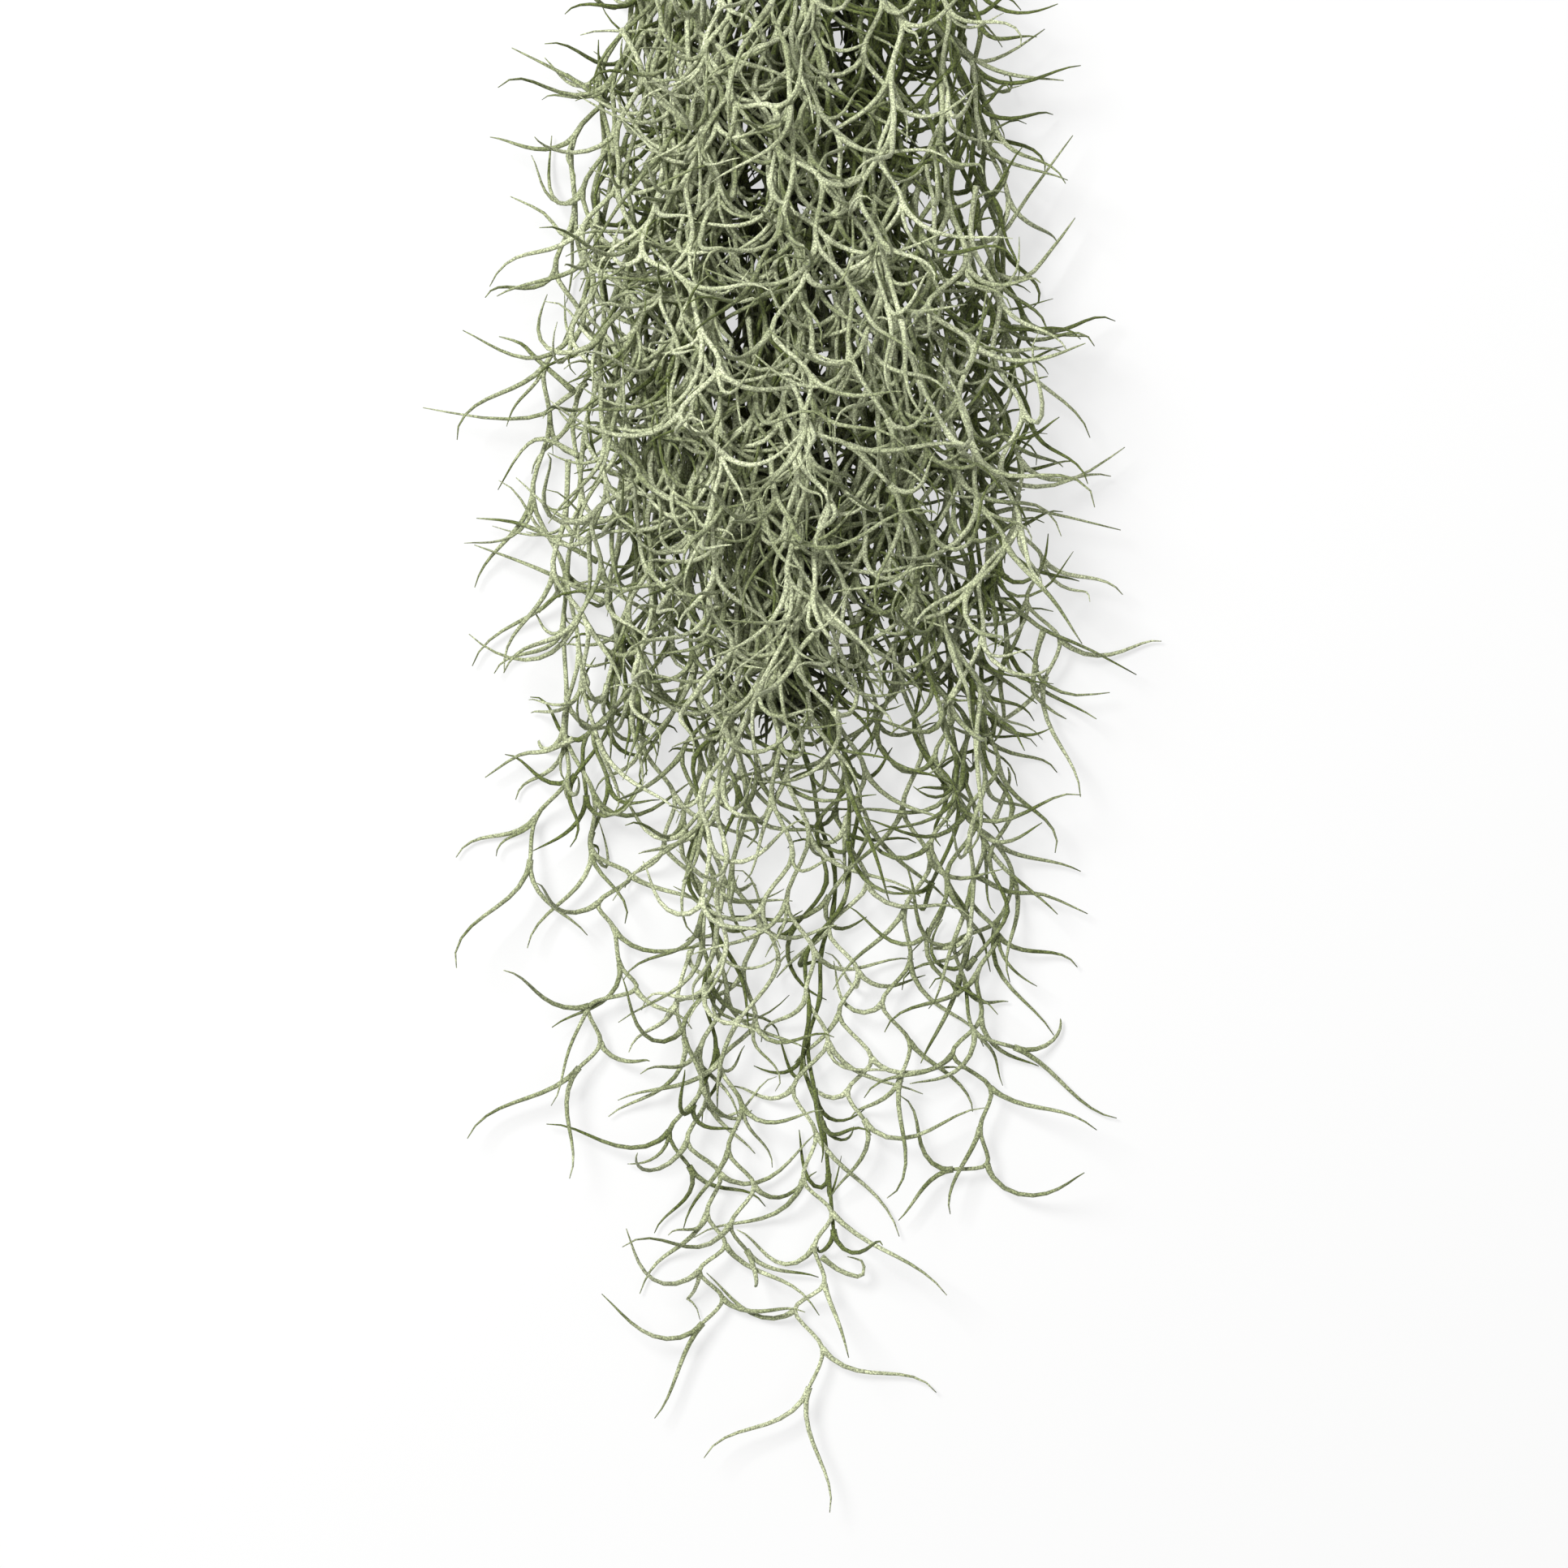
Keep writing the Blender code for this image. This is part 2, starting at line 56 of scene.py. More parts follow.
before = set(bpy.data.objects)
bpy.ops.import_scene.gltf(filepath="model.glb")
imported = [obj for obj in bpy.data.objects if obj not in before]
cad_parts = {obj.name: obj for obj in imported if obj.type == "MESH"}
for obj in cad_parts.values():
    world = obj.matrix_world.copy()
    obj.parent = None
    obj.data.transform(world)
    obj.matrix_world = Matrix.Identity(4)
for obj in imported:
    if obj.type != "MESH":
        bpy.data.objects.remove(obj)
CAD_BOX = [list(corner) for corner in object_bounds()]

MM = 0.001

# Height in metres above which leaves are bowed down, just under the top of the solid part, and the
# most that any of them may stand above it
SOLID_TOP = CAD_BOX[1][2] - 2.0 * MM
TOP_SLACK = 9.0 * MM

# Driving dimensions of one strand, in millimetres as all that follow
STEM_RADIUS = 0.85
LEAF_RADIUS = 0.68
TIP_RADIUS = 0.2
INTERNODE = 16.5
ZIGZAG = 3.2
LEAF_LENGTH = (20.0, 40.0)

# Straight stretches by which the room for a leaf is tested, on trailing and on covering strands
LEAF_STEPS = 3
SHORT_LEAF_STEPS = 2

# Steps along a leaf's curve, steps of a fine stem from node to node, and sides of a fine tube
CURVE_STEPS = 18
STEM_STEPS = 5
TUBE_SIDES = 6

# Height over which a curve that comes down eases out onto the floor
SETTLE_DEPTH = 2.0

# Share of a strand by which its direction is looked up ahead and behind
AHEAD = 0.02

# Bends of a leaf in degrees: least, most and usual turn outward, on the solid part's strands and in
# the tangle, where the turn back at the tip and the twist have these ranges
LEAF_TURN = (20, 140, 75)
CURL_TURN, CURL_BACK, CURL_TWIST = (25, 200, 95), (-50, 150), (-90, 90)

# Fine stems: share of the solid strand's radius, how much they thin out along the strand, the share
# left at its end, and how much and how sharply they swell at the nodes
FINE_STEM, FINE_TAPER, FINE_END = 0.86, 0.22, 0.6
SWELL, SWELL_SHARPNESS = 0.32, 7.0

# Fine leaves: radius at the tip, how late they taper, thickness and length of the sheath, and how
# far their tone strays from the strand's
FINE_TIP, FINE_FULLNESS = 0.13, 2.2
SHEATH, SHEATH_SHARE = 0.24, 0.09
TONE_DRIFT = (-0.14, 0.1)

# Second leaves: range of their scale, and how thick they are beside the first
SECOND_SCALE = (0.6, 0.95)
SECOND_THICK = 0.78

# Middle of the bunch's outline in plan, where the origin is put
MIDDLE = (7.9, -12.9)
ORIGIN = np.array((*MIDDLE, 0.0))

# Clear gap kept between two separate strands, and between a strand and the heart
GAP = 0.36
# Furthest a node of a strand is nudged when it would touch a neighbour
NUDGE = 7.0
STEM_TRIES = 80
STRAND_TRIES = 3
LEAF_TRIES = 45
SEED = 27

# Matted heart: place along the bunch, half width and height at a few stations from head to tail
HEART_STATIONS = (
    (222.0, 3.0, 6.0),
    (206.0, 11.0, 16.0),
    (176.0, 19.0, 25.0),
    (130.0, 25.0, 31.0),
    (75.0, 26.0, 31.0),
    (30.0, 21.0, 26.0),
    (-5.0, 13.0, 16.0),
    (-28.0, 4.0, 7.0),
)
HEART_SIDES = 22
HEART_RINGS = 22
HEART_CENTRE = 0.43
HEART_SHIFT = 2.0

# Strands that trail free at the tail, by points: across, along, and lift above what lies below
TRAILING = {
    "strand_long_tail": (
        (1, 131, 5), (3, 76, 9), (9, 21, 12), (5, -23, 20), (5, -56, 16), (5, -89, 12),
        (11, -111, 8), (6, -137, 6), (10, -159, 6), (12, -177, 5), (7, -194, 4), (11, -213, 4),
    ),
    "strand_left_tail": (
        (-16, 109, 5), (-18, 54, 9), (-20, -1, 14), (-21, -45, 14), (-16, -82, 10),
        (-18, -115, 7), (-23, -142, 6), (-17, -164, 5), (-19, -181, 5), (-18, -196, 4),
    ),
    "strand_mid_tail": (
        (-7, 54, 6), (-10, -12, 18), (-12, -67, 9), (-7, -100, 6), (-14, -129, 9),
        (-10, -155, 9), (-12, -176, 7),
    ),
    "strand_right_tail": (
        (18, 204, 5), (38, 172, 14), (46, 128, 18), (50, 84, 16), (47, 40, 17), (50, -1, 15),
        (50, -40, 10), (54, -74, 8), (57, -98, 7), (50, -120, 6), (58, -142, 5), (50, -156, 4),
    ),
    "strand_right_inner": (
        (26, 54, 5), (35, -1, 12), (36, -45, 9), (38, -78, 7), (31, -106, 6), (35, -128, 5),
    ),
    "strand_right_outer": (
        (31, 92, 5), (57, 32, 9), (58, -23, 6), (53, -56, 12), (61, -78, 4), (48, -100, 9),
        (61, -122, 4),
    ),
    "strand_far_right": (
        (24, 184, 5), (50, 146, 16), (60, 104, 15), (56, 66, 14), (66, 28, 14), (70, 4, 9),
        (76, -18, 5),
    ),
    "strand_left_long": (
        (-13, 206, 5), (-36, 174, 14), (-48, 132, 17), (-47, 92, 16), (-55, 52, 14),
        (-56, 15, 11), (-57, -23, 8), (-53, -56, 6), (-44, -74, 5), (-49, -88, 5),
        (-40, -99, 5), (-51, -113, 5), (-52, -126, 4),
    ),
    "strand_left_outer": (
        (-20, 178, 5), (-44, 146, 12), (-59, 108, 12), (-57, 78, 10), (-66, 50, 8), (-62, 10, 5),
        (-61, -25, 4), (-60, -47, 6), (-70, -68, 4),
    ),
    "strand_left_inner": (
        (-27, 76, 5), (-38, 10, 16), (-35, -34, 9), (-28, -67, 6), (-21, -95, 4), (-29, -117, 4),
    ),
    "strand_mid_right": (
        (17, 82, 5), (19, 32, 8), (17, -23, 16), (22, -60, 10), (16, -93, 7), (22, -120, 5),
        (20, -140, 4),
    ),
    "strand_mid_left": (
        (-18, 40, 5), (-24, -12, 9), (-24, -56, 5), (-19, -90, 14), (-25, -125, 11),
        (-28, -153, 6),
    ),
}

# Steps that share numbers out evenly between 0 and 1 when their whole parts are dropped
GOLDEN = 0.618034
PLASTIC = 0.7548777
SILVER = 0.41421

# Strands that cover the heart, shared out round it by rule
COVER_COUNT = 15
COVER_ANGLE = (22.0, 158.0)
COVER_START = (216.0, 60.0)
COVER_LENGTH = (100.0, 170.0)
COVER_LIFT = (5.0, 24.0)
COVER_STEP = 22.0
COVER_FEWEST = 6
LANE_TRIES = 4

# Pixels of the photograph are named by these: how many millimetres one is, and the pixel that the
# growth rules have as their zero
PIXEL = 0.22
PIXEL_ZERO = (961.0, 746.0)
VIEW_PIXELS = 1932.0

# The body's middle lies a little to the right of that zero, in millimetres
BODY_MIDDLE = 4.0

# How much wider than the dense body the arch is that strands lie on, and the one they run under
CROWN_WIDTH, ROUTE_WIDTH = 1.28, 1.3

# Half width and height of the dense body at places along the bunch
ENVELOPE = (
    (236.0, 10.0, 12.0),
    (222.0, 22.0, 24.0),
    (200.0, 38.0, 36.0),
    (164.0, 50.0, 45.0),
    (120.0, 53.0, 48.0),
    (54.0, 57.0, 49.0),
    (10.0, 57.0, 44.0),
    (-20.0, 54.0, 35.0),
    (-60.0, 51.0, 24.0),
    (-110.0, 50.0, 16.0),
    (-160.0, 50.0, 10.0),
    (-240.0, 30.0, 7.0),
)

# The locks the bunch parts into below its body: share of the strands, the part of the body they
# come from, where across the lock runs at places along the bunch, how far a strand strays from
# there, and where the first and the last of its strands end
LOCKS = (
    (0.24, (-0.62, 0.1),
     ((-20, -13.0), (-70, -15.0), (-110, -17.0), (-150, -21.0), (-190, -18.0)),
     12.0, (24.0, -188.0)),
    (0.22, (-0.1, 0.55),
     ((-20, 13.0), (-70, 14.0), (-110, 10.0), (-150, 9.0), (-190, 10.0)),
     11.0, (24.0, -180.0)),
    (0.29, (0.35, 1.0),
     ((-20, 51.0), (-70, 50.0), (-110, 50.0), (-160, 55.0)),
     10.0, (0.0, -150.0)),
    (0.25, (-1.0, -0.35),
     ((-20, -53.0), (-70, -51.0), (-110, -45.0), (-160, -47.0)),
     8.0, (36.0, -92.0)),
)

# A hollow in the upper body with painted shade, where the strands part: across and along, and its
# half sizes
HOLLOW = ((21.0, 143.0), (10.0, 30.0))

# How far strands are parted there, as a share of its half width, how much wider and longer than the
# hollow its painted shade is, and the height at which that painted shade fades and over what height
HOLLOW_PUSH = 0.75
HOLLOW_SHADE = (2.0, 1.3)
SHADE_HEIGHT = (34.0, 5.0)

# How much darker leaf tips are, and how much shade is painted on growth deep in the hollow
TIP_SHADE = 0.25
# Painted shade: how much darker growth low in the hollow is made
HOLLOW_PAINTED_SHADE = 0.8

# Where along the bunch the locks begin to part and over what length, and where their leaves begin
# to thin out, over what length, and what share of them is lost
PART_FROM, PART_OVER = 25.0, 80.0
AIRY_FROM, AIRY_OVER, AIRY_LOSS = -10.0, 50.0, 0.6

# Strands of the tangle: the least depth as a share of the body's height, the share below which a
# strand is an inner one, the power by which ends crowd towards the lock's first, the shortest outer
# strand, the range of their lengths, the range of internodes, and the step along a route
LEAST_DEPTH = 0.2
INNER_BELOW = 0.55
END_POWER = 2.3
OUTER_SHORTEST = 70.0
OUTER_LENGTH = (110.0, 230.0)
TANGLE_INTERNODE = (12.0, 16.0)
GUIDE_STEP = 15.0

# For its inner strands, dark as painted shade deep in the body, and its outer ones: where the first
# starts, how far the starts spread and by what power, scale and share of the leaves, range of
# tones, share of second leaves
TANGLE = {
    "inner": (232.0, 60.0, 1.0, 0.85, 0.7, (-0.15, 0.3), 0.4),
    "outer": (228.0, 190.0, 1.2, 1.0, 0.95, (0.15, 0.95), 1.0),
}

# Strands of the heart: count, start and step of the places that set a route, turn from one
# strand to the next, the outermost one's share of the heart's size, internode, zigzag, scale and
# share of the leaves, range of tones, kept low as painted shade deep in the bunch, share of second
# leaves
OLD_PLACES, OLD_FROM, OLD_STEP = 13, 218.0, 20.0
OLD_TURN = 2.4
OLD_REACH = 0.92
OLD_INTERNODE, OLD_ZIGZAG = 13.0, 2.8
OLD_LEAVES = (0.7, 0.6)
HEART_SHADE_TONES = (0.0, 0.7)
OLD_SECOND = 0.2
OLD_SEED = 77

# Strands of the solid part, grown again: range of tones, and seed of the first
STRAND_TONES = (0.25, 0.85)
STRAND_SEED = 500

# Front strands: range of lifts off the body, how far their first points are sunk in it, internode,
# scale of the leaves, range of tones, high as painted light on top of the bunch, share of second
# leaves, and how thick they are
FRONT_LIFT = (2.5, 5.5)
FRONT_SINK = (16.0, 3.0)
FRONT_INTERNODE = 14.0
FRONT_LEAVES = 1.12
FRONT_TONES = (0.6, 0.92)
FRONT_SECOND = 0.6
FRONT_THICK = 1.08
FRONT_SEED = 5

# Stray leaves: how thick they are, range of tones, and the least height they may sink to
STRAY_THICK = 1.05
STRAY_TONES = (0.3, 0.7)
STRAY_LOWEST = 3.0

# Pale thick strands on top of the body, by pixel
FRONT_ROUTES = (
    ((940, -70), (968, 0), (948, 70), (985, 150), (962, 250), (985, 330), (968, 420),
     (990, 500), (1020, 560), (1100, 590)),
    ((852, 40), (895, 110), (930, 150), (968, 190), (1000, 255), (1022, 340),
     (1050, 420), (1075, 530)),
    ((1120, -60), (1085, 20), (1112, 90), (1080, 190), (1062, 285), (1095, 345),
     (1110, 420), (1150, 520), (1185, 560)),
    ((820, 200), (795, 290), (836, 370), (880, 430), (852, 520), (896, 600), (872, 700)),
    ((950, 560), (968, 620), (962, 680), (1000, 740), (992, 800), (1012, 880)),
    ((1165, 200), (1185, 290), (1150, 390), (1196, 470), (1178, 560), (1225, 640), (1205, 730)),
    ((735, 230), (725, 310), (768, 390), (735, 480), (778, 570), (738, 660), (728, 760)),
    ((905, 640), (872, 710), (900, 780), (868, 850), (890, 940), (858, 1020), (880, 1100)),
)

# Single leaves and shoots that stray from the outline, by pixel, each with the height in
# millimetres that it starts at
STRAYS = (
    ((722, 470), (690, 492), (660, 510), (600, 512), (517, 498), 16),
    ((712, 560), (668, 538), (640, 552), (610, 600), 14),
    ((735, 690), (668, 655), (628, 640), (583, 635), 12),
    ((742, 740), (690, 712), (640, 690), (580, 668), 10),
    ((705, 480), (660, 440), (640, 420), (612, 410), 18),
    ((742, 262), (700, 290), (668, 258), (626, 236), 18),
    ((752, 132), (712, 100), (680, 80), (628, 52), 20),
    ((704, 910), (670, 925), (636, 930), (593, 958), 8),
    ((1150, 30), (1200, 70), (1240, 62), (1290, 28), 18),
    ((1180, 300), (1230, 290), (1270, 235), (1325, 160), 18),
    ((1195, 420), (1250, 400), (1290, 408), (1345, 410), 18),
    ((1210, 330), (1262, 340), (1300, 300), (1328, 262), 16),
    ((1215, 560), (1240, 590), (1290, 597), (1340, 580), (1390, 547), 15),
    ((1205, 640), (1245, 625), (1290, 628), (1385, 650), 14),
    ((1222, 730), (1258, 752), (1290, 775), (1345, 798), (1405, 830), 12),
    ((1288, 776), (1278, 815), (1290, 840), (1325, 855), (1372, 852), 10),
    ((1279, 818), (1276, 850), (1296, 872), (1318, 885), 9),
    ((1205, 1080), (1245, 1100), (1290, 1104), (1345, 1128), 7),
    ((1228, 1010), (1238, 985), (1247, 960), (1245, 945), 9),
    ((1013, 1555), (1035, 1572), (1062, 1580), (1064, 1562), (1045, 1556), 6),
)

# Skin: its shader, mottling in patches to the metre and its detail, detail of the grain, the ranges
# the noise of each is mapped from and to, and strength and depth of the bump
SKIN = {
    "Roughness": 0.78,
    "Specular IOR Level": 0.25,
    "Sheen Weight": 0.12,
    "Sheen Roughness": 0.5,
}
MOTTLE_SCALE, MOTTLE_DETAIL = 85.0, 2.0
MOTTLE_RANGES = (0.3, 0.7, -0.3, 0.3)
GRAIN_DETAIL = 3.0
GRAIN_RANGES = (0.4, 0.68, 0.42, 1.36)
BUMP_STRENGTH, BUMP_DEPTH = 0.6, 0.00025

# Stage, in metres: half size and drop of the floor, its shader, and the brightness of the room
FLOOR_HALF, FLOOR_DROP = 4.0, 0.0008
PAPER = {
    "Base Color": (0.22, 0.22, 0.219, 1.0),
    "Roughness": 1.0,
    "Specular IOR Level": 0.0,
    "Emission Color": (1.0, 1.0, 1.0, 1.0),
    "Emission Strength": 0.66,
}
ROOM_COLOR, ROOM_STRENGTH = (1.0, 1.0, 1.0, 1.0), 0.36

# Lamps: name, place and size in metres, and power in watts
LAMPS = (
    ("key", (-0.9, 0.8, 1.5), 0.7, 56.0),
    ("fill", (1.0, -0.6, 1.8), 1.4, 8.0),
)

# Camera: lens and sensor in millimetres, the height in metres at which the view is as wide as the
# photograph, and how far it sees
LENS, SENSOR = 110.0, 36.0
VIEW_HEIGHT = 0.02
SIGHT = 20.0


def smooth_path(points, share):
    """A point on the Catmull-Rom curve through the points; share runs from 0 to 1."""
    place = min(max(share, 0.0), 1.0) * (len(points) - 1)
    first = min(int(place), len(points) - 2)
    t = place - first
    a, b, c, d = (points[min(max(first + k, 0), len(points) - 1)] for k in (-1, 0, 1, 2))
    return 0.5 * (
        2 * b + (c - a) * t + (2 * a - 5 * b + 4 * c - d) * t * t + (3 * b - 3 * c + d - a) * t**3
    )


def heart_size(along):
    """Half width and height of the heart at a place along the bunch."""
    ends = HEART_STATIONS
    if along >= ends[0][0] or along <= ends[-1][0]:
        return None
    for high, low in zip(ends, ends[1:]):
        if along >= low[0]:
            t = (high[0] - along) / (high[0] - low[0])
            s = t * t * (3 - 2 * t)
            return tuple(high[k] + (low[k] - high[k]) * s for k in (1, 2))
    return None


def heart_top(across, along):
    """Height of the heart's upper side at a point in plan, or 0 beside it."""
    size = heart_size(along)
    if size is None:
        return 0.0
    side = (across - HEART_SHIFT) / (size[0] * 1.12)
    if abs(side) >= 1:
        return 0.0
    return size[1] * (HEART_CENTRE + 0.56 * math.sqrt(1 - side * side))


def heart_mesh():
    """A sphere pulled out along Y, ridged like a loosely twisted rope and flat where it lies."""
    bm = bmesh.new()
    bmesh.ops.create_uvsphere(bm, u_segments=HEART_SIDES, v_segments=HEART_RINGS, radius=1.0)
    head, tail = HEART_STATIONS[0][0], HEART_STATIONS[-1][0]
    for vert in bm.verts:
        turn = math.acos(max(-1.0, min(1.0, vert.co.z))) / math.pi
        angle = math.atan2(vert.co.y, vert.co.x)
        along = head + (tail - head) * turn
        if turn < 1e-6 or turn > 1 - 1e-6:
            vert.co = (HEART_SHIFT, along, HEART_STATIONS[0][2] * HEART_CENTRE)
            continue
        half, tall = heart_size(along)
        ridge = 1 + 0.085 * math.cos(8 * angle + 9 * turn) + 0.05 * math.cos(3 * angle - 14 * turn)
        wave = 3.0 * math.sin(7 * turn)
        vert.co = (
            HEART_SHIFT + wave + half * ridge * math.cos(angle),
            along,
            max(0.0, tall * HEART_CENTRE + tall * 0.5 * ridge * math.sin(angle)),
        )
    bm.normal_update()
    bmesh.ops.recalc_face_normals(bm, faces=bm.faces)
    bm.normal_update()
    return bm


class Surface:
    """The heart's faces, cut into triangles, to measure how far a point is from them."""

    def __init__(self, bm):
        corners = [[tuple(loop.vert.co) for loop in tri] for tri in bm.calc_loop_triangles()]
        self.corners = np.array(corners)
        self.edges = np.roll(self.corners, -1, 1) - self.corners
        flat = np.cross(self.edges[:, 0], self.edges[:, 1])
        size = np.sqrt((flat * flat).sum(1))
        keep = size > 1e-6
        self.corners, self.edges = self.corners[keep], self.edges[keep]
        self.normals = flat[keep] / size[keep][:, None]
        self.inward = np.cross(self.normals[:, None, :], self.edges)
        self.lengths = (self.edges**2).sum(2)
        self.low, self.high = self.corners[:, :, 1].min(1), self.corners[:, :, 1].max(1)

    def measure(self, points):
        """Signed distance from each point to the surface, and the nearest place on it."""
        near = (self.low < points[:, 1].max() + 14.0) & (self.high > points[:, 1].min() - 14.0)
        if not near.any():
            return np.full(len(points), 99.0), points
        from_corner = points[:, None, None, :] - self.corners[near][None]
        edges, lengths = self.edges[near][None], self.lengths[near][None]
        share = np.clip((from_corner * edges).sum(3) / lengths, 0, 1)
        to_edge = from_corner - edges * share[..., None]
        edge_away = (to_edge * to_edge).sum(3)
        height = (from_corner[:, :, 0] * self.normals[near][None]).sum(2)
        above = ((from_corner * self.inward[near][None]).sum(3) >= 0).all(2)
        away = np.where(above, np.abs(height), np.sqrt(edge_away.min(2)))
        best = (away - 1e-4 * np.abs(height)).argmin(1)
        rows = np.arange(len(points))
        side = np.where(height[rows, best] >= 0, 1.0, -1.0)
        offset = to_edge[rows, best, edge_away[rows, best].argmin(1)]
        flat = height[rows, best][:, None] * self.normals[near][best]
        offset = np.where(above[rows, best][:, None], flat, offset)
        return away[rows, best] * side, points - offset


class Thicket:
    """Every stem and leaf placed so far, as straight stretches with a radius and an owner."""

    def __init__(self, surface):
        self.surface = surface
        self.starts, self.ends = np.zeros((0, 3)), np.zeros((0, 3))
        self.radii, self.owners = np.zeros(0), np.zeros(0, int)

    def add(self, points, radii, owner):
        """Enter a stem or a leaf."""
        pts = np.array([tuple(p) for p in points])
        self.starts = np.vstack((self.starts, pts[:-1]))
        self.ends = np.vstack((self.ends, pts[1:]))
        thick = np.maximum(np.array(radii[:-1]), np.array(radii[1:]))
        self.radii = np.concatenate((self.radii, thick))
        self.owners = np.concatenate((self.owners, np.full(len(pts) - 1, owner)))

    def is_clear(self, points, radii, owner, skip=0):
        """True if these stretches keep their gap to other owners, the heart and the floor."""
        if any(point.z < radius for point, radius in zip(points, radii)):
            return False
        return self.off_others(points, radii, owner) and self.off_heart(points, radii, skip)

    def off_heart(self, points, radii, skip):
        """True if the stretches keep off the heart; the first may start on it when skip is 1."""
        shares = (0.4, 0.7, 1.0) if skip else (0.0, 0.25, 0.5, 0.75, 1.0)
        samples = [points[0].lerp(points[1], t) for t in shares]
        for one, two in zip(points[1:], points[2:]):
            samples += [one.lerp(two, t) for t in (0.25, 0.5, 0.75, 1.0)]
        pts = np.array([tuple(p) for p in samples])
        away, _ = self.surface.measure(pts)
        return bool((away > max(radii) + GAP).all())

    def off_others(self, points, radii, owner):
        """True if the stretches keep off those of other owners."""
        pts = np.array([tuple(p) for p in points])
        thick = max(radii) + GAP
        low, high = pts.min(0) - thick - 1.0, pts.max(0) + thick + 1.0
        near = (
            (self.owners != owner)
            & (np.minimum(self.starts, self.ends) <= high).all(1)
            & (np.maximum(self.starts, self.ends) >= low).all(1)
        )
        if not near.any():
            return True
        starts, ends, thickness = self.starts[near], self.ends[near], self.radii[near]
        for number in range(len(pts) - 1):
            away = stretch_distance(pts[number], pts[number + 1], starts, ends)
            own = max(radii[number], radii[number + 1])
            if (away < thickness + own + GAP).any():
                return False
        return True


def stretch_distance(p, q, starts, ends):
    """Shortest distance from the stretch p to q to each of the others."""
    u, v, w = q - p, ends - starts, p - starts
    a, b, c = (u * u).sum(), (v * u).sum(1), (v * v).sum(1)
    d, e = (w * u).sum(1), (v * w).sum(1)
    denominator = np.maximum(a * c - b * b, 1e-12)
    s = np.clip((b * e - c * d) / denominator, 0, 1)
    t = np.clip((b * s + e) / np.maximum(c, 1e-12), 0, 1)
    s = np.clip((b * t - d) / max(a, 1e-12), 0, 1)
    apart = w + s[:, None] * u - t[:, None] * v
    return np.sqrt((apart * apart).sum(1))


def leaf_curve(root, forward, outward, length, bend):
    """Centreline of a leaf: it leaves along the stem, bends outward and eases back at its tip.

    bend holds, in degrees, the turn outward, the turn back at the tip, and the twist on the way.
    """
    turn, recurve, twist = (math.radians(value) for value in bend)
    across = forward.cross(outward)
    points = [root.copy()]
    place = root.copy()
    for step in range(CURVE_STEPS):
        s = (step + 0.5) / CURVE_STEPS
        angle = turn * math.sin(s * math.pi * 0.62) - recurve * s**2.6
        way_out = outward * math.cos(twist * s) + across * math.sin(twist * s)
        heading = forward * math.cos(angle) + way_out * math.sin(angle)
        place = place + heading * (length / CURVE_STEPS)
        points.append(place.copy())
    return points


def leaf_bend(rng):
    """A leaf's bends: most arch outward and ease back, some hook over, some are nearly straight."""
    turn = rng.triangular(*LEAF_TURN)
    return turn, rng.uniform(-25, 1.1) * turn * 0.01 + rng.uniform(0, 110), rng.uniform(-75, 75)


def settle(points, radius):
    """Lift a curve's points that would pass through the surface the bunch lies on."""
    for point in points:
        if point.z < radius + SETTLE_DEPTH:
            under = math.exp((point.z - radius - SETTLE_DEPTH) / SETTLE_DEPTH)
            point.z = radius + SETTLE_DEPTH * under + 0.05
    return points


def leaf_radii(count):
    """Radius at each point: full at the root, thin at the tip."""
    shares = [k / (count - 1) for k in range(count)]
    return [TIP_RADIUS + (LEAF_RADIUS - TIP_RADIUS) * (1 - s) ** 0.75 for s in shares]


def every(points, steps):
    """The curve's points at equal steps, first and last kept."""
    return [points[round(k * (len(points) - 1) / steps)] for k in range(steps + 1)]


def node_count(guide, internode):
    """How many nodes a strand along the guide has after its root."""
    total = sum((b - a).length for a, b in zip(guide, guide[1:]))
    return max(3, round(total / internode))


def sideways(guide, share):
    """The directions across a guide and up from it, at a share of its length."""
    ahead = (smooth_path(guide, share + AHEAD) - smooth_path(guide, share - AHEAD)).normalized()
    across = ahead.cross(Vector((0, 0, 1))).normalized()
    return across, across.cross(ahead)


def square_to(side, forward):
    """The part of a direction that is square to another."""
    return (side - forward * side.dot(forward)).normalized()


def guide_of(route):
    """A trailing strand's route with each lift measured from what lies below."""
    return [Vector((x, y, heart_top(x, y) + lift)) for x, y, lift in route]


def cover_guide(number, rng):
    """The route of a strand that covers the heart, from its root to where it ends."""
    turn = (0.5 + number * GOLDEN) % 1.0
    angle = math.radians(COVER_ANGLE[0] + (COVER_ANGLE[1] - COVER_ANGLE[0]) * turn)
    down = (0.1 + number * PLASTIC) % 1.0
    along = COVER_START[0] + (COVER_START[1] - COVER_START[0]) * down**0.8
    length = rng.uniform(*COVER_LENGTH)
    full_lift = rng.uniform(*COVER_LIFT)
    swing = rng.uniform(-0.3, 0.3)
    points = []
    for step in range(int(length / COVER_STEP) + 1):
        y = along - step * COVER_STEP
        half, tall = heart_size(y) or (6.0, 10.0)
        lift = full_lift * min(1.0, step / 1.5) + 3.0
        bearing = angle + swing * math.sin(step * 0.8)
        reach = 1.0 + lift / max(half, 14.0)
        x = HEART_SHIFT + (half + lift * 1.25) * math.cos(bearing)
        x += 4.0 * math.sin(step * 1.1 + number)
        z = tall * HEART_CENTRE + tall * 0.5 * reach * math.sin(bearing)
        points.append(Vector((x, y, max(z, 3.0 + lift * 0.2))))
    return points


def root_on_heart(guide, surface):
    """The point just clear of the heart's surface where a strand begins, and the way out of it."""
    apart, nearest = surface.measure(np.array([tuple(guide[0])]))
    place = Vector(nearest[0])
    away = (guide[0] - place).normalized() * (1 if apart[0] > 0 else -1)
    return place + away * GAP, away


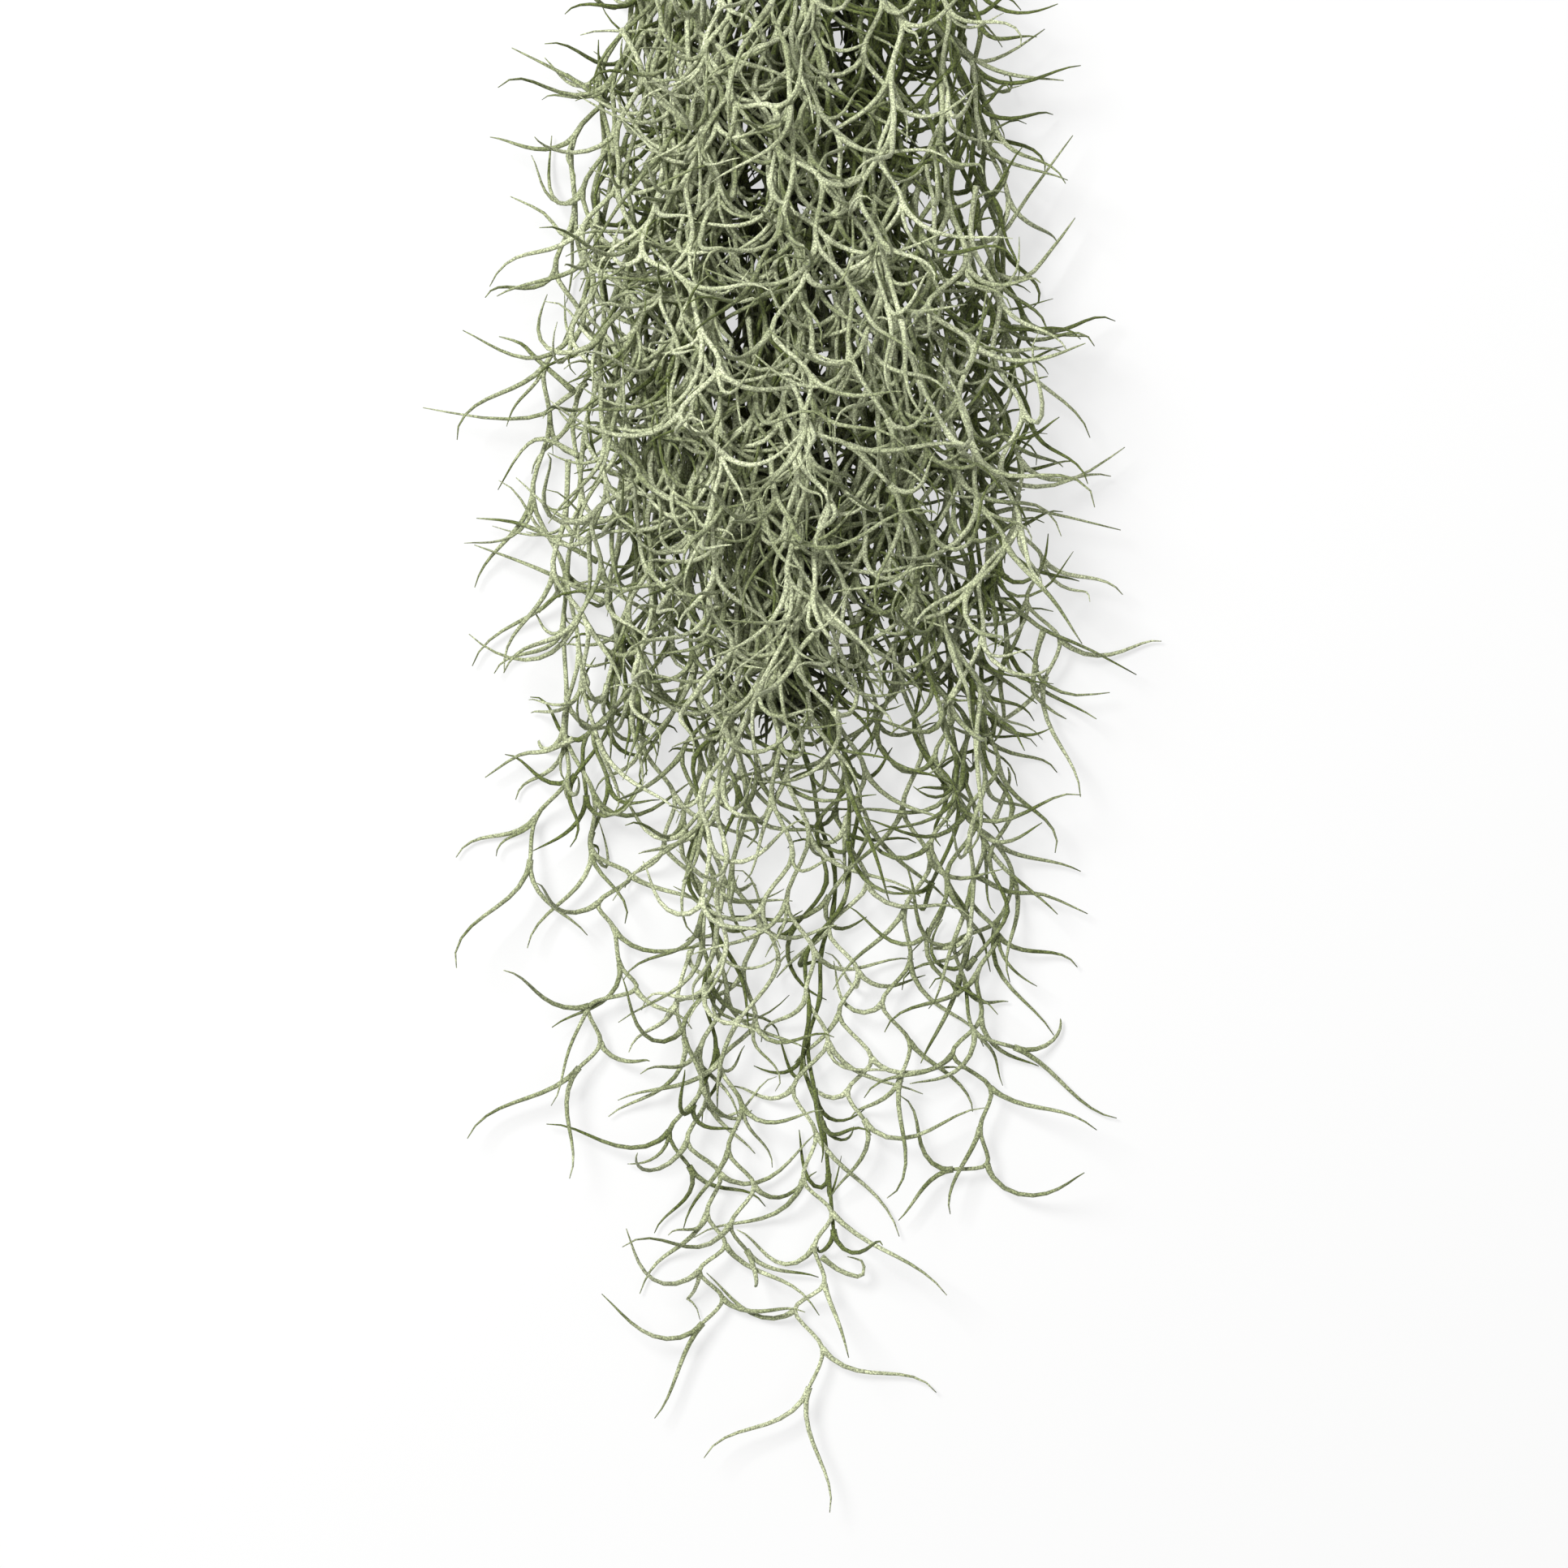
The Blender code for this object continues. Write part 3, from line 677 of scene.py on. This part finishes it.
def grow_stem(guide, owner, rng, thicket):
    """Nodes of a zigzag stem along its guide, kept clear of all that was placed before."""
    root, away = root_on_heart(guide, thicket.surface)
    count = node_count(guide, INTERNODE)
    nodes = [root, root + away * 3.0]
    sides = []
    plane = rng.uniform(-0.5, 0.5)
    for number in range(1, count + 1):
        share = number / count
        across, up = sideways(guide, share)
        plane = 0.9 * plane + rng.uniform(-0.4, 0.4)
        hand = 1 if number % 2 else -1
        side = (across * math.cos(plane) + up * math.sin(plane)) * hand
        wanted = smooth_path(guide, share) + side * ZIGZAG
        found = None
        for attempt in range(STEM_TRIES):
            reach = NUDGE * attempt / STEM_TRIES
            shift = Vector([rng.uniform(-reach, reach) for _ in range(3)])
            node = settle([wanted + shift], STEM_RADIUS)[0]
            skip = 1 if number == 1 else 0
            if thicket.is_clear([nodes[-1], node], [STEM_RADIUS] * 2, owner, skip):
                found = node
                break
        if found is None:
            break
        nodes.append(found)
        sides.append(side)
    return nodes, sides


def stem_radii(count):
    """The stem thins a little towards its growing tip."""
    return [STEM_RADIUS * (1.0 - 0.25 * k / max(count - 1, 1)) for k in range(count)]


def grow_leaf(root, forward, outward, owner, rng, thicket, steps):
    """One leaf that keeps clear of other strands, or None where there is no room."""
    for attempt in range(LEAF_TRIES):
        spread = 0.6 + 1.6 * attempt / LEAF_TRIES
        twist = Matrix.Rotation(rng.uniform(-spread, spread), 3, forward)
        length = rng.uniform(*LEAF_LENGTH) * (1 - 0.35 * attempt / LEAF_TRIES)
        curve = leaf_curve(root, forward, (twist @ outward).normalized(), length, leaf_bend(rng))
        curve = settle(curve, LEAF_RADIUS)
        coarse = every(curve, steps)
        radii = leaf_radii(steps + 1)
        if thicket.is_clear(coarse, radii, owner, 1):
            thicket.add(coarse, radii, owner)
            return curve
    return None


def grow_strand(guide, owner, rng, thicket, steps, fewest=3):
    """Stem nodes and leaf curves of one strand, entered in the thicket, or None if it is short."""
    grown = [grow_stem(guide, owner, rng, thicket) for _ in range(STRAND_TRIES)]
    nodes, sides = max(grown, key=lambda one: len(one[0]))
    if len(sides) < fewest:
        return None
    radii = stem_radii(len(nodes))
    thicket.add(nodes, radii, owner)
    leaves = []
    for number, side in enumerate(sides[:-1]):
        node = nodes[number + 2]
        forward = (node - nodes[number + 1]).normalized()
        outward = square_to(side, forward)
        leaves.append(grow_leaf(node, forward, outward, owner, rng, thicket, steps))
    end = nodes[-1]
    forward = (end - nodes[-2]).normalized()
    across = forward.cross(Vector((0, 0, 1))).normalized()
    for hand in (-1, 1):
        leaves.append(grow_leaf(end, forward, across * hand, owner, rng, thicket, steps))
    return nodes, [leaf for leaf in leaves if leaf]


def grow_bunch():
    """Every strand of the solid part by name: the nodes of its stem, and its leaves."""
    rng = random.Random(SEED)
    heart = heart_mesh()
    thicket = Thicket(Surface(heart))
    heart.free()
    strands = {}
    for owner, (name, route) in enumerate(TRAILING.items(), 1):
        strands[name] = grow_strand(guide_of(route), owner, rng, thicket, LEAF_STEPS)
    for number in range(COVER_COUNT):
        owner = len(TRAILING) + 1 + number
        for _ in range(LANE_TRIES):
            guide = cover_guide(number, rng)
            strand = grow_strand(guide, owner, rng, thicket, SHORT_LEAF_STEPS, COVER_FEWEST)
            if strand:
                strands[f"strand_cover_{number + 1:02d}"] = strand
                break
    return strands


def station(table, along):
    """Values of a table at a place along the bunch, straight between its rows."""
    if along >= table[0][0]:
        return table[0][1:]
    for high, low in zip(table, table[1:]):
        if along >= low[0]:
            t = (high[0] - along) / (high[0] - low[0])
            return tuple(a + (b - a) * t for a, b in zip(high[1:], low[1:]))
    return table[-1][1:]


def crown(across, along):
    """Height of the top of the dense body at a point in plan."""
    half, tall = station(ENVELOPE, along)
    return tall * math.sqrt(max(0.0, 1.0 - ((across - BODY_MIDDLE) / (half * CROWN_WIDTH)) ** 2))


def by_pixel(px, py, lift=0.0):
    """A pixel of the photograph as a point on top of the body."""
    across = (px - PIXEL_ZERO[0]) * PIXEL
    along = (PIXEL_ZERO[1] - py) * PIXEL
    return Vector((across, along, crown(across, along) + lift))


def hollow_push(across, along):
    """How far a strand is parted from the middle of the hollow."""
    (x, y), (wide, tall) = HOLLOW
    off = (across - x) / wide
    near = math.exp(-off * off - ((along - y) / tall) ** 2)
    return math.copysign(HOLLOW_PUSH * wide, off) * near


def tangle_guide(lock, side, depth, start, end, rng):
    """A strand's route through the body and on down its lock, at its depth below the top."""
    stray = rng.uniform(-1, 1) * lock[3]
    waves = [(rng.uniform(0, 6.3), rng.uniform(1.5, 4.5), rng.uniform(0.35, 1.1)) for _ in range(2)]
    points = []
    along = start
    while along > end:
        half, tall = station(ENVELOPE, along)
        t = min(max((PART_FROM - along) / PART_OVER, 0.0), 1.0)
        t = t * t * (3 - 2 * t)
        straying = min(1.0, max(0.5, (along + 200.0) / 130.0))
        below = station(lock[2], along)[0] + stray * straying
        body = BODY_MIDDLE + side * half
        across = body + (below - body) * t
        across += hollow_push(across, along) * min(1.0, max(0.0, depth * 4.0 - 2.0))
        step = (start - along) / GUIDE_STEP
        across += sum(size * math.sin(phase + step * rate) for phase, size, rate in waves)
        off = (across - BODY_MIDDLE) / (half * ROUTE_WIDTH)
        height = tall * math.sqrt(max(0.05, 1.0 - off**2)) * depth
        height += 2.5 * math.sin(waves[0][0] * 3 + step * 0.8)
        points.append(Vector((across, along, max(height, 2.0))))
        along -= GUIDE_STEP
    return points


def free_stem(guide, rng, internode, zigzag):
    """Nodes of a zigzag stem along a guide, where strands may touch in the tangle."""
    count = node_count(guide, internode)
    nodes, sides = [guide[0]], []
    plane = rng.uniform(-1.2, 1.2)
    first = rng.choice((-1, 1))
    for number in range(1, count + 1):
        share = number / count
        across, up = sideways(guide, share)
        plane = 0.92 * plane + rng.uniform(-0.5, 0.5)
        side = (across * math.cos(plane) + up * math.sin(plane)) * (first if number % 2 else -first)
        node = smooth_path(guide, share) + side * zigzag * rng.uniform(0.7, 1.25)
        nodes.append(settle([node], STEM_RADIUS)[0])
        sides.append(side)
    return nodes, sides


def curly_bend(rng):
    """Bends of a leaf in the tangle: arches, hooks and curls of every degree."""
    turn = rng.triangular(*CURL_TURN)
    return turn, rng.uniform(*CURL_BACK), rng.uniform(*CURL_TWIST)


def free_leaf(node, forward, side, rng, scale):
    """One leaf with nothing to keep clear of but the surface below."""
    outward = square_to(side, forward)
    twist = Matrix.Rotation(rng.gauss(0.0, 0.75), 3, forward)
    length = rng.uniform(*LEAF_LENGTH) * scale
    return settle(leaf_curve(node, forward, twist @ outward, length, curly_bend(rng)), LEAF_RADIUS)


def second_leaf(nodes, number, rng, scale):
    """The thinner leaf between the main leaf of a node and the stem that goes on."""
    node, before, after = nodes[number], nodes[number - 1], nodes[number + 1]
    incoming = (node - before).normalized()
    onward = (after - node).normalized()
    forward = (incoming * 0.45 + onward * 0.55).normalized()
    side = incoming - onward
    if side.length < 0.05:
        side = forward.orthogonal()
    side = Matrix.Rotation(rng.uniform(-1.4, 1.4), 3, forward) @ side.normalized()
    return free_leaf(node, forward, side, rng, scale)


def airy(point):
    """Share of the leaves that grow at a point: the locks below the body are airy."""
    return 1.0 - AIRY_LOSS * min(1.0, max(0.0, (AIRY_FROM - point.y) / AIRY_OVER))


def leafy(nodes, sides, rng, scale, share=1.0):
    """A main leaf for each node of a free stem, and two at its end."""
    leaves = []
    for number, side in enumerate(sides[:-1]):
        if rng.random() < share * airy(nodes[number + 1]):
            forward = (nodes[number + 1] - nodes[number]).normalized()
            leaves.append(free_leaf(nodes[number + 1], forward, side, rng, scale))
    forward = (nodes[-1] - nodes[-2]).normalized()
    for hand in (-1, 1):
        leaves.append(free_leaf(nodes[-1], forward, sides[-1] * hand, rng, scale * 0.9))
    return leaves


def strand_splines(nodes, leaves, rng, tone, extras, thick=1.0):
    """Everything of one strand as (points, radii, tone, leafness) for the tube maker."""
    splines = [stem_spline(nodes, thick, tone)]
    for leaf in leaves:
        splines.append(leaf_spline(leaf, thick, tone + rng.uniform(*TONE_DRIFT)))
    for number in range(2, len(nodes) - 1):
        if rng.random() < extras * airy(nodes[number]):
            leaf = second_leaf(nodes, number, rng, rng.uniform(*SECOND_SCALE))
            splines.append(leaf_spline(leaf, SECOND_THICK * thick, tone + rng.uniform(*TONE_DRIFT)))
    return splines


def stem_spline(nodes, thick, tone):
    """A round stem through its nodes, a little swollen at each of them."""
    points, radii = [], []
    for number in range(len(nodes) - 1):
        for step in range(STEM_STEPS):
            share = (number + step / STEM_STEPS) / (len(nodes) - 1)
            points.append(smooth_path(nodes, share))
            from_node = min(step, STEM_STEPS - step) / STEM_STEPS
            swell = 1.0 + SWELL * math.exp(-(from_node * SWELL_SHARPNESS) ** 2)
            radii.append(STEM_RADIUS * FINE_STEM * (1.0 - FINE_TAPER * share) * swell)
    points.append(nodes[-1].copy())
    radii.append(STEM_RADIUS * FINE_END)
    return settle(points, STEM_RADIUS), [thick * radius for radius in radii], tone, 0.0


def leaf_spline(curve, thick, tone):
    """A leaf that clasps the stem with its sheath and thins out to a fine tip."""
    count = len(curve)
    radii = []
    for number in range(count):
        s = number / (count - 1)
        body = FINE_TIP + (LEAF_RADIUS - FINE_TIP) * (1 - s**FINE_FULLNESS)
        sheath = SHEATH * math.exp(-((s / SHEATH_SHARE) ** 2))
        radii.append(thick * (body + sheath))
    keep = [0, 1, 2] + list(range(4, count - 1, 2)) + [count - 1]
    return [curve[k] for k in keep], [radii[k] for k in keep], tone, 1.0


def below_top(heights):
    """Bow leaves that stand above the solid part down towards it, to keep its height."""
    over = np.maximum(heights - SOLID_TOP, 0.0)
    return np.minimum(heights, SOLID_TOP) + TOP_SLACK * (1.0 - np.exp(-over / TOP_SLACK))


def add_object(name, data):
    """A new object in the scene that shows the data."""
    item = bpy.data.objects.new(name, data)
    bpy.context.scene.collection.objects.link(item)
    return item


def tubes(name, splines):
    """One mesh of round tubes swept along the splines, with a tone on every vertex."""
    curve = bpy.data.curves.new(name, "CURVE")
    curve.dimensions = "3D"
    curve.bevel_depth = MM
    curve.bevel_resolution = 1
    for points, radii, _, _ in splines:
        spline = curve.splines.new("POLY")
        spline.points.add(len(points) - 1)
        places = (np.array([tuple(p) for p in points]) - ORIGIN) * MM
        places[:, 2] = below_top(places[:, 2])
        spline.points.foreach_set("co", np.column_stack((places, np.ones(len(points)))).ravel())
        spline.points.foreach_set("radius", np.array(radii))
    sweep = add_object(name + "_sweep", curve)
    graph = bpy.context.evaluated_depsgraph_get()
    mesh = bpy.data.meshes.new_from_object(sweep.evaluated_get(graph))
    bpy.data.objects.remove(sweep)
    bpy.data.curves.remove(curve)
    mesh.name = name
    mark_vertices(mesh, splines)
    close_ends(mesh)
    mesh.shade_smooth()
    return add_object(name, mesh)


def close_ends(mesh):
    """Fill the open ends of the tubes, so each is a closed surface with its faces outward."""
    bm = bmesh.new()
    bm.from_mesh(mesh)
    open_edges = [edge for edge in bm.edges if edge.is_boundary]
    bmesh.ops.holes_fill(bm, edges=open_edges, sides=TUBE_SIDES)
    bm.to_mesh(mesh)
    bm.free()


def mark_vertices(mesh, splines):
    """Tone of each vertex: that of its strand, darker at leaf tips, and with painted shade low in
    the hollow.
    """
    tones, tips = [], []
    for points, _, tone, leafness in splines:
        tones.append(np.full(len(points) * TUBE_SIDES, tone))
        tips.append(np.repeat(np.linspace(0, 1, len(points)) * leafness, TUBE_SIDES))
    tone, tips = np.concatenate(tones), np.concatenate(tips)
    found = len(mesh.vertices)
    if len(tone) != found:
        raise RuntimeError(f"{mesh.name}: {found} vertices where {len(tone)} were expected")
    places = np.empty(found * 3)
    mesh.vertices.foreach_get("co", places)
    places = places.reshape(-1, 3) / MM + ORIGIN
    # Painted shade: growth in and around the hollow is darkened, most where it lies low
    (x, y), (wide, tall) = HOLLOW
    off = ((places[:, 0] - x) / (HOLLOW_SHADE[0] * wide)) ** 2
    off += ((places[:, 1] - y) / (HOLLOW_SHADE[1] * tall)) ** 2
    buried = 1.0 / (1.0 + np.exp((places[:, 2] - SHADE_HEIGHT[0]) / SHADE_HEIGHT[1]))
    tone = tone - TIP_SHADE * tips**2 - HOLLOW_PAINTED_SHADE * np.exp(-off) * buried
    layer = mesh.attributes.new("tone", "FLOAT", "POINT")
    layer.data.foreach_set("value", tone.astype(np.float32))


def set_inputs(node, values):
    """Set a node's inputs by name."""
    for name, value in values.items():
        node.inputs[name].default_value = value


def add_noise(tree, place, scale, detail):
    """Noise over a piece's own coordinates."""
    noise = tree.nodes.new("ShaderNodeTexNoise")
    set_inputs(noise, {"Scale": scale, "Detail": detail})
    tree.links.new(place.outputs["Object"], noise.inputs["Vector"])
    return noise


def add_range(tree, noise, ranges):
    """The noise mapped from one range to another."""
    mapped = tree.nodes.new("ShaderNodeMapRange")
    set_inputs(mapped, dict(zip(("From Min", "From Max", "To Min", "To Max"), ranges)))
    tree.links.new(noise.outputs["Fac"], mapped.inputs["Value"])
    return mapped


def moss_material(name, bright, dark, settings):
    """Scurfy grey-green skin: pale scales over green, in the tone of each vertex, partly painted
    light and shade, and mottled.
    """
    material = bpy.data.materials.new(name)
    material.use_nodes = True
    tree = material.node_tree
    nodes, links = tree.nodes, tree.links
    shader = nodes["Principled BSDF"]
    set_inputs(shader, SKIN)
    place = nodes.new("ShaderNodeTexCoord")
    tone = nodes.new("ShaderNodeAttribute")
    tone.attribute_name = "tone"
    grain = add_noise(tree, place, settings.grain_scale, GRAIN_DETAIL)
    mottle = add_noise(tree, place, MOTTLE_SCALE, MOTTLE_DETAIL)
    spread = add_range(tree, mottle, MOTTLE_RANGES)
    add = nodes.new("ShaderNodeMath")
    add.operation = "ADD"
    links.new(tone.outputs["Fac"], add.inputs[0])
    links.new(spread.outputs["Result"], add.inputs[1])
    base = nodes.new("ShaderNodeMix")
    base.data_type = "RGBA"
    set_inputs(base, {"A": (*dark, 1.0), "B": (*bright, 1.0)})
    links.new(add.outputs["Value"], base.inputs["Factor"])
    speck = add_range(tree, grain, GRAIN_RANGES)
    scaled = nodes.new("ShaderNodeVectorMath")
    scaled.operation = "SCALE"
    links.new(base.outputs["Result"], scaled.inputs[0])
    links.new(speck.outputs["Result"], scaled.inputs["Scale"])
    links.new(scaled.outputs["Vector"], shader.inputs["Base Color"])
    bump = nodes.new("ShaderNodeBump")
    set_inputs(bump, {"Strength": BUMP_STRENGTH, "Distance": BUMP_DEPTH})
    links.new(grain.outputs["Fac"], bump.inputs["Height"])
    links.new(bump.outputs["Normal"], shader.inputs["Normal"])
    return material


def dress(piece, title, settings):
    """Give a piece its material, made once for each slot and its body."""
    material = bpy.data.materials.get(title + "_skin")
    if material is None:
        # The heart's strands take the darker pair of colours: painted shade deep in the bunch
        main_colours, shaded = (settings.bright, settings.dark), (settings.shaded, settings.deep)
        bright, dark = main_colours if title == "moss" else shaded
        material = moss_material(title + "_skin", tuple(bright), tuple(dark), settings)
    piece.data.materials.clear()
    piece.data.materials.append(material)
    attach(piece, "root")


class MossSettings(bpy.types.PropertyGroup):
    second_leaves: bpy.props.FloatProperty(
        name="Second leaves", description="Share of nodes with a second, thinner leaf",
        default=0.7, min=0, max=1,
    )
    tangle_strands: bpy.props.IntProperty(
        name="Tangle strands", description="Extra strands in the body and the locks of the bunch",
        default=110, min=0,
    )
    heart_strands: bpy.props.IntProperty(
        name="Heart strands", description="Old strands in the middle of the bunch",
        default=26, min=4,
    )
    tangle_seed: bpy.props.IntProperty(
        name="Tangle seed", description="Seed of the extra strands", default=11,
    )
    grain_scale: bpy.props.FloatProperty(
        name="Grain", description="How fine the scales on the skin are, in grains to the metre",
        default=2100.0,
    )
    # Bright and dark are the ends of each vertex's tone, partly the strands' own random tone and
    # partly painted light on top strands and painted shade deep in the bunch and in the hollow
    bright: bpy.props.FloatVectorProperty(
        name="Bright", description="Skin where its scales are thick", subtype="COLOR",
        default=(0.59, 0.63, 0.41),
    )
    dark: bpy.props.FloatVectorProperty(
        name="Dark", description="Skin where its scales are thin", subtype="COLOR",
        default=(0.112, 0.14, 0.036),
    )
    # These two colours of the heart's strands are darker than those above: painted shade deep in
    # the bunch
    shaded: bpy.props.FloatVectorProperty(
        name="Old", description="Old stems in the heart", subtype="COLOR",
        default=(0.22, 0.25, 0.1),
    )
    deep: bpy.props.FloatVectorProperty(
        name="Deep", description="Dark old stems in the heart", subtype="COLOR",
        default=(0.04, 0.048, 0.014),
    )


class MOSS_OT_strands(bpy.types.Operator):
    """Grow the strands of the solid part again, with fine leaves"""

    bl_idname = "moss.strands"
    bl_label = "Grow the strands"

    def execute(self, context):
        settings = context.scene.moss_settings
        for number, (name, (nodes, leaves)) in enumerate(grow_bunch().items()):
            rng = random.Random(STRAND_SEED + number)
            tone = rng.uniform(*STRAND_TONES)
            splines = strand_splines(nodes, leaves, rng, tone, settings.second_leaves)
            piece = tubes("fine_" + name, splines)
            dress(piece, "moss", settings)
            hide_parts(name)
        return {"FINISHED"}


class MOSS_OT_heart(bpy.types.Operator):
    """Fill the heart with old strands that lie close together"""

    bl_idname = "moss.heart"
    bl_label = "Grow the heart"

    def execute(self, context):
        settings = context.scene.moss_settings
        rng = random.Random(OLD_SEED)
        splines = []
        for number in range(settings.heart_strands):
            angle = number * OLD_TURN
            reach = OLD_REACH * math.sqrt((number + 0.5) / settings.heart_strands)
            phase = rng.uniform(0, 6.3)
            guide = []
            for step in range(OLD_PLACES):
                along = OLD_FROM - step * OLD_STEP
                half, tall = heart_size(along) or (3.0, 6.0)
                turn = angle + 0.5 * math.sin(phase + step * 0.5) + step * 0.12
                x = HEART_SHIFT + half * reach * math.cos(turn)
                z = tall * (HEART_CENTRE + 0.45 * reach * math.sin(turn))
                guide.append(Vector((x, along, max(z, 1.5))))
            nodes, sides = free_stem(guide, rng, OLD_INTERNODE, OLD_ZIGZAG)
            leaves = leafy(nodes, sides, rng, *OLD_LEAVES)
            # Low tones for the heart's strands: painted shade deep in the bunch
            tone = rng.uniform(*HEART_SHADE_TONES)
            splines += strand_splines(nodes, leaves, rng, tone, OLD_SECOND)
        piece = tubes("fine_heart", splines)
        dress(piece, "old_moss", settings)
        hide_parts("matted_heart")
        return {"FINISHED"}


class MOSS_OT_tangle(bpy.types.Operator):
    """Grow the strands that make up the bunch between those of the solid part"""

    bl_idname = "moss.tangle"
    bl_label = "Grow the tangle"

    def execute(self, context):
        settings = context.scene.moss_settings
        rng = random.Random(settings.tangle_seed)
        pieces = {}
        for number in range(settings.tangle_strands):
            lock = rng.choices(LOCKS, [row[0] for row in LOCKS])[0]
            low, high = lock[1]
            side = low + (high - low) * ((number * PLASTIC) % 1.0)
            depth = LEAST_DEPTH + (1.0 - LEAST_DEPTH) * ((number * SILVER) % 1.0)
            kind = "inner" if depth < INNER_BELOW else "outer"
            first, spread, power, scale, share, tones, second = TANGLE[kind]
            start = first - spread * rng.random() ** power
            first_end, last_end = lock[4]
            end = first_end + (last_end - first_end) * rng.random() ** END_POWER
            if kind == "outer":
                end = max(end, start - rng.uniform(*OUTER_LENGTH))
                end = min(start - OUTER_SHORTEST, end)
            guide = tangle_guide(lock, side, depth, start, end, rng)
            nodes, sides = free_stem(guide, rng, rng.uniform(*TANGLE_INTERNODE), ZIGZAG)
            leaves = leafy(nodes, sides, rng, scale, share)
            # Inner strands take low tones: painted shade deep in the body
            tone = rng.uniform(*tones)
            extras = settings.second_leaves * second
            third = ("left", "middle", "right")[min(2, int((side + 1) * 1.5))]
            splines = pieces.setdefault(f"{third}_{kind}", [])
            splines.extend(strand_splines(nodes, leaves, rng, tone, extras))
        for key, splines in pieces.items():
            dress(tubes("tangle_" + key, splines), "moss", settings)
        return {"FINISHED"}


class MOSS_OT_front(bpy.types.Operator):
    """Lay the thick pale strands over the front of the bunch, and the leaves that stray from it"""

    bl_idname = "moss.front"
    bl_label = "Lay the front strands"

    def execute(self, context):
        settings = context.scene.moss_settings
        rng = random.Random(FRONT_SEED)
        splines = []
        for route in FRONT_ROUTES:
            guide = [by_pixel(px, py, rng.uniform(*FRONT_LIFT)) for px, py in route]
            for point, sink in zip(guide, FRONT_SINK):
                point.z -= sink
            nodes, sides = free_stem(guide, rng, FRONT_INTERNODE, ZIGZAG)
            leaves = leafy(nodes, sides, rng, FRONT_LEAVES)
            # Front strands take high tones: painted light on top of the bunch
            tone = rng.uniform(*FRONT_TONES)
            splines += strand_splines(nodes, leaves, rng, tone, FRONT_SECOND, FRONT_THICK)
        dress(tubes("front_strands", splines), "moss", settings)
        strays = []
        for *pixels, lift in STRAYS:
            count = len(pixels) - 1
            guide = []
            for number, (px, py) in enumerate(pixels):
                point = by_pixel(px, py)
                point.z = max(STRAY_LOWEST, lift * (1 - 0.5 * number / count))
                guide.append(point)
            curve = [smooth_path(guide, k / CURVE_STEPS) for k in range(CURVE_STEPS + 1)]
            strays.append(leaf_spline(curve, STRAY_THICK, rng.uniform(*STRAY_TONES)))
        dress(tubes("stray_leaves", strays), "moss", settings)
        return {"FINISHED"}


class MOSS_OT_stage(bpy.types.Operator):
    """Pale floor, soft light and a camera that looks straight down"""

    bl_idname = "moss.stage"
    bl_label = "Set the stage"

    def execute(self, context):
        add_floor()
        add_lights()
        add_camera(context)
        return {"FINISHED"}


def add_floor():
    """A plain pale floor just under the bunch."""
    mesh = bpy.data.meshes.new("floor")
    bm = bmesh.new()
    bmesh.ops.create_grid(bm, x_segments=1, y_segments=1, size=FLOOR_HALF)
    bm.to_mesh(mesh)
    bm.free()
    floor = add_object("floor", mesh)
    floor.location.z = -FLOOR_DROP
    material = bpy.data.materials.new("paper")
    material.use_nodes = True
    set_inputs(material.node_tree.nodes["Principled BSDF"], PAPER)
    mesh.materials.append(material)


def add_lights():
    """A bright room, a key lamp from the upper left and a weak fill from the lower right."""
    world = bpy.data.worlds.new("studio")
    bpy.context.scene.world = world
    world.use_nodes = True
    background = world.node_tree.nodes["Background"]
    set_inputs(background, {"Color": ROOM_COLOR, "Strength": ROOM_STRENGTH})
    for name, place, size, power in LAMPS:
        light = bpy.data.lights.new(name, "AREA")
        light.energy = power
        light.size = size
        lamp = add_object(name, light)
        lamp.location = place
        lamp.rotation_euler = (-Vector(place)).to_track_quat("-Z", "Y").to_euler()


def add_camera(context):
    """A camera that looks straight down and frames the bunch as the photograph does."""
    data = bpy.data.cameras.new("camera")
    data.lens = LENS
    data.sensor_width = SENSOR
    data.clip_end = SIGHT
    camera = add_object("camera", data)
    away = VIEW_PIXELS * PIXEL * MM * data.lens / data.sensor_width
    across = (VIEW_PIXELS / 2 - PIXEL_ZERO[0]) * PIXEL - MIDDLE[0]
    along = (PIXEL_ZERO[1] - VIEW_PIXELS / 2) * PIXEL - MIDDLE[1]
    camera.location = (across * MM, along * MM, VIEW_HEIGHT + away)
    context.scene.camera = camera
    context.scene.view_settings.view_transform = "Standard"


class MOSS_PT_panel(bpy.types.Panel):
    bl_label = "Spanish moss bunch"
    bl_idname = "MOSS_PT_panel"
    bl_space_type = "VIEW_3D"
    bl_region_type = "UI"
    bl_category = "Moss"

    def draw(self, context):
        settings = context.scene.moss_settings
        for name in settings.bl_rna.properties.keys():
            if name not in ("rna_type", "name"):
                self.layout.prop(settings, name)
        for operator in CLASSES[1:-1]:
            self.layout.operator(operator.bl_idname)


CLASSES = (
    MossSettings,
    MOSS_OT_strands,
    MOSS_OT_heart,
    MOSS_OT_tangle,
    MOSS_OT_front,
    MOSS_OT_stage,
    MOSS_PT_panel,
)


def register():
    for item in CLASSES:
        bpy.utils.register_class(item)
    bpy.types.Scene.moss_settings = bpy.props.PointerProperty(type=MossSettings)


def unregister():
    del bpy.types.Scene.moss_settings
    for item in reversed(CLASSES):
        bpy.utils.unregister_class(item)


def main():
    register()
    bpy.ops.moss.strands()
    bpy.ops.moss.heart()
    bpy.ops.moss.tangle()
    bpy.ops.moss.front()
    bpy.ops.moss.stage()


if __name__ == "__main__":
    main()
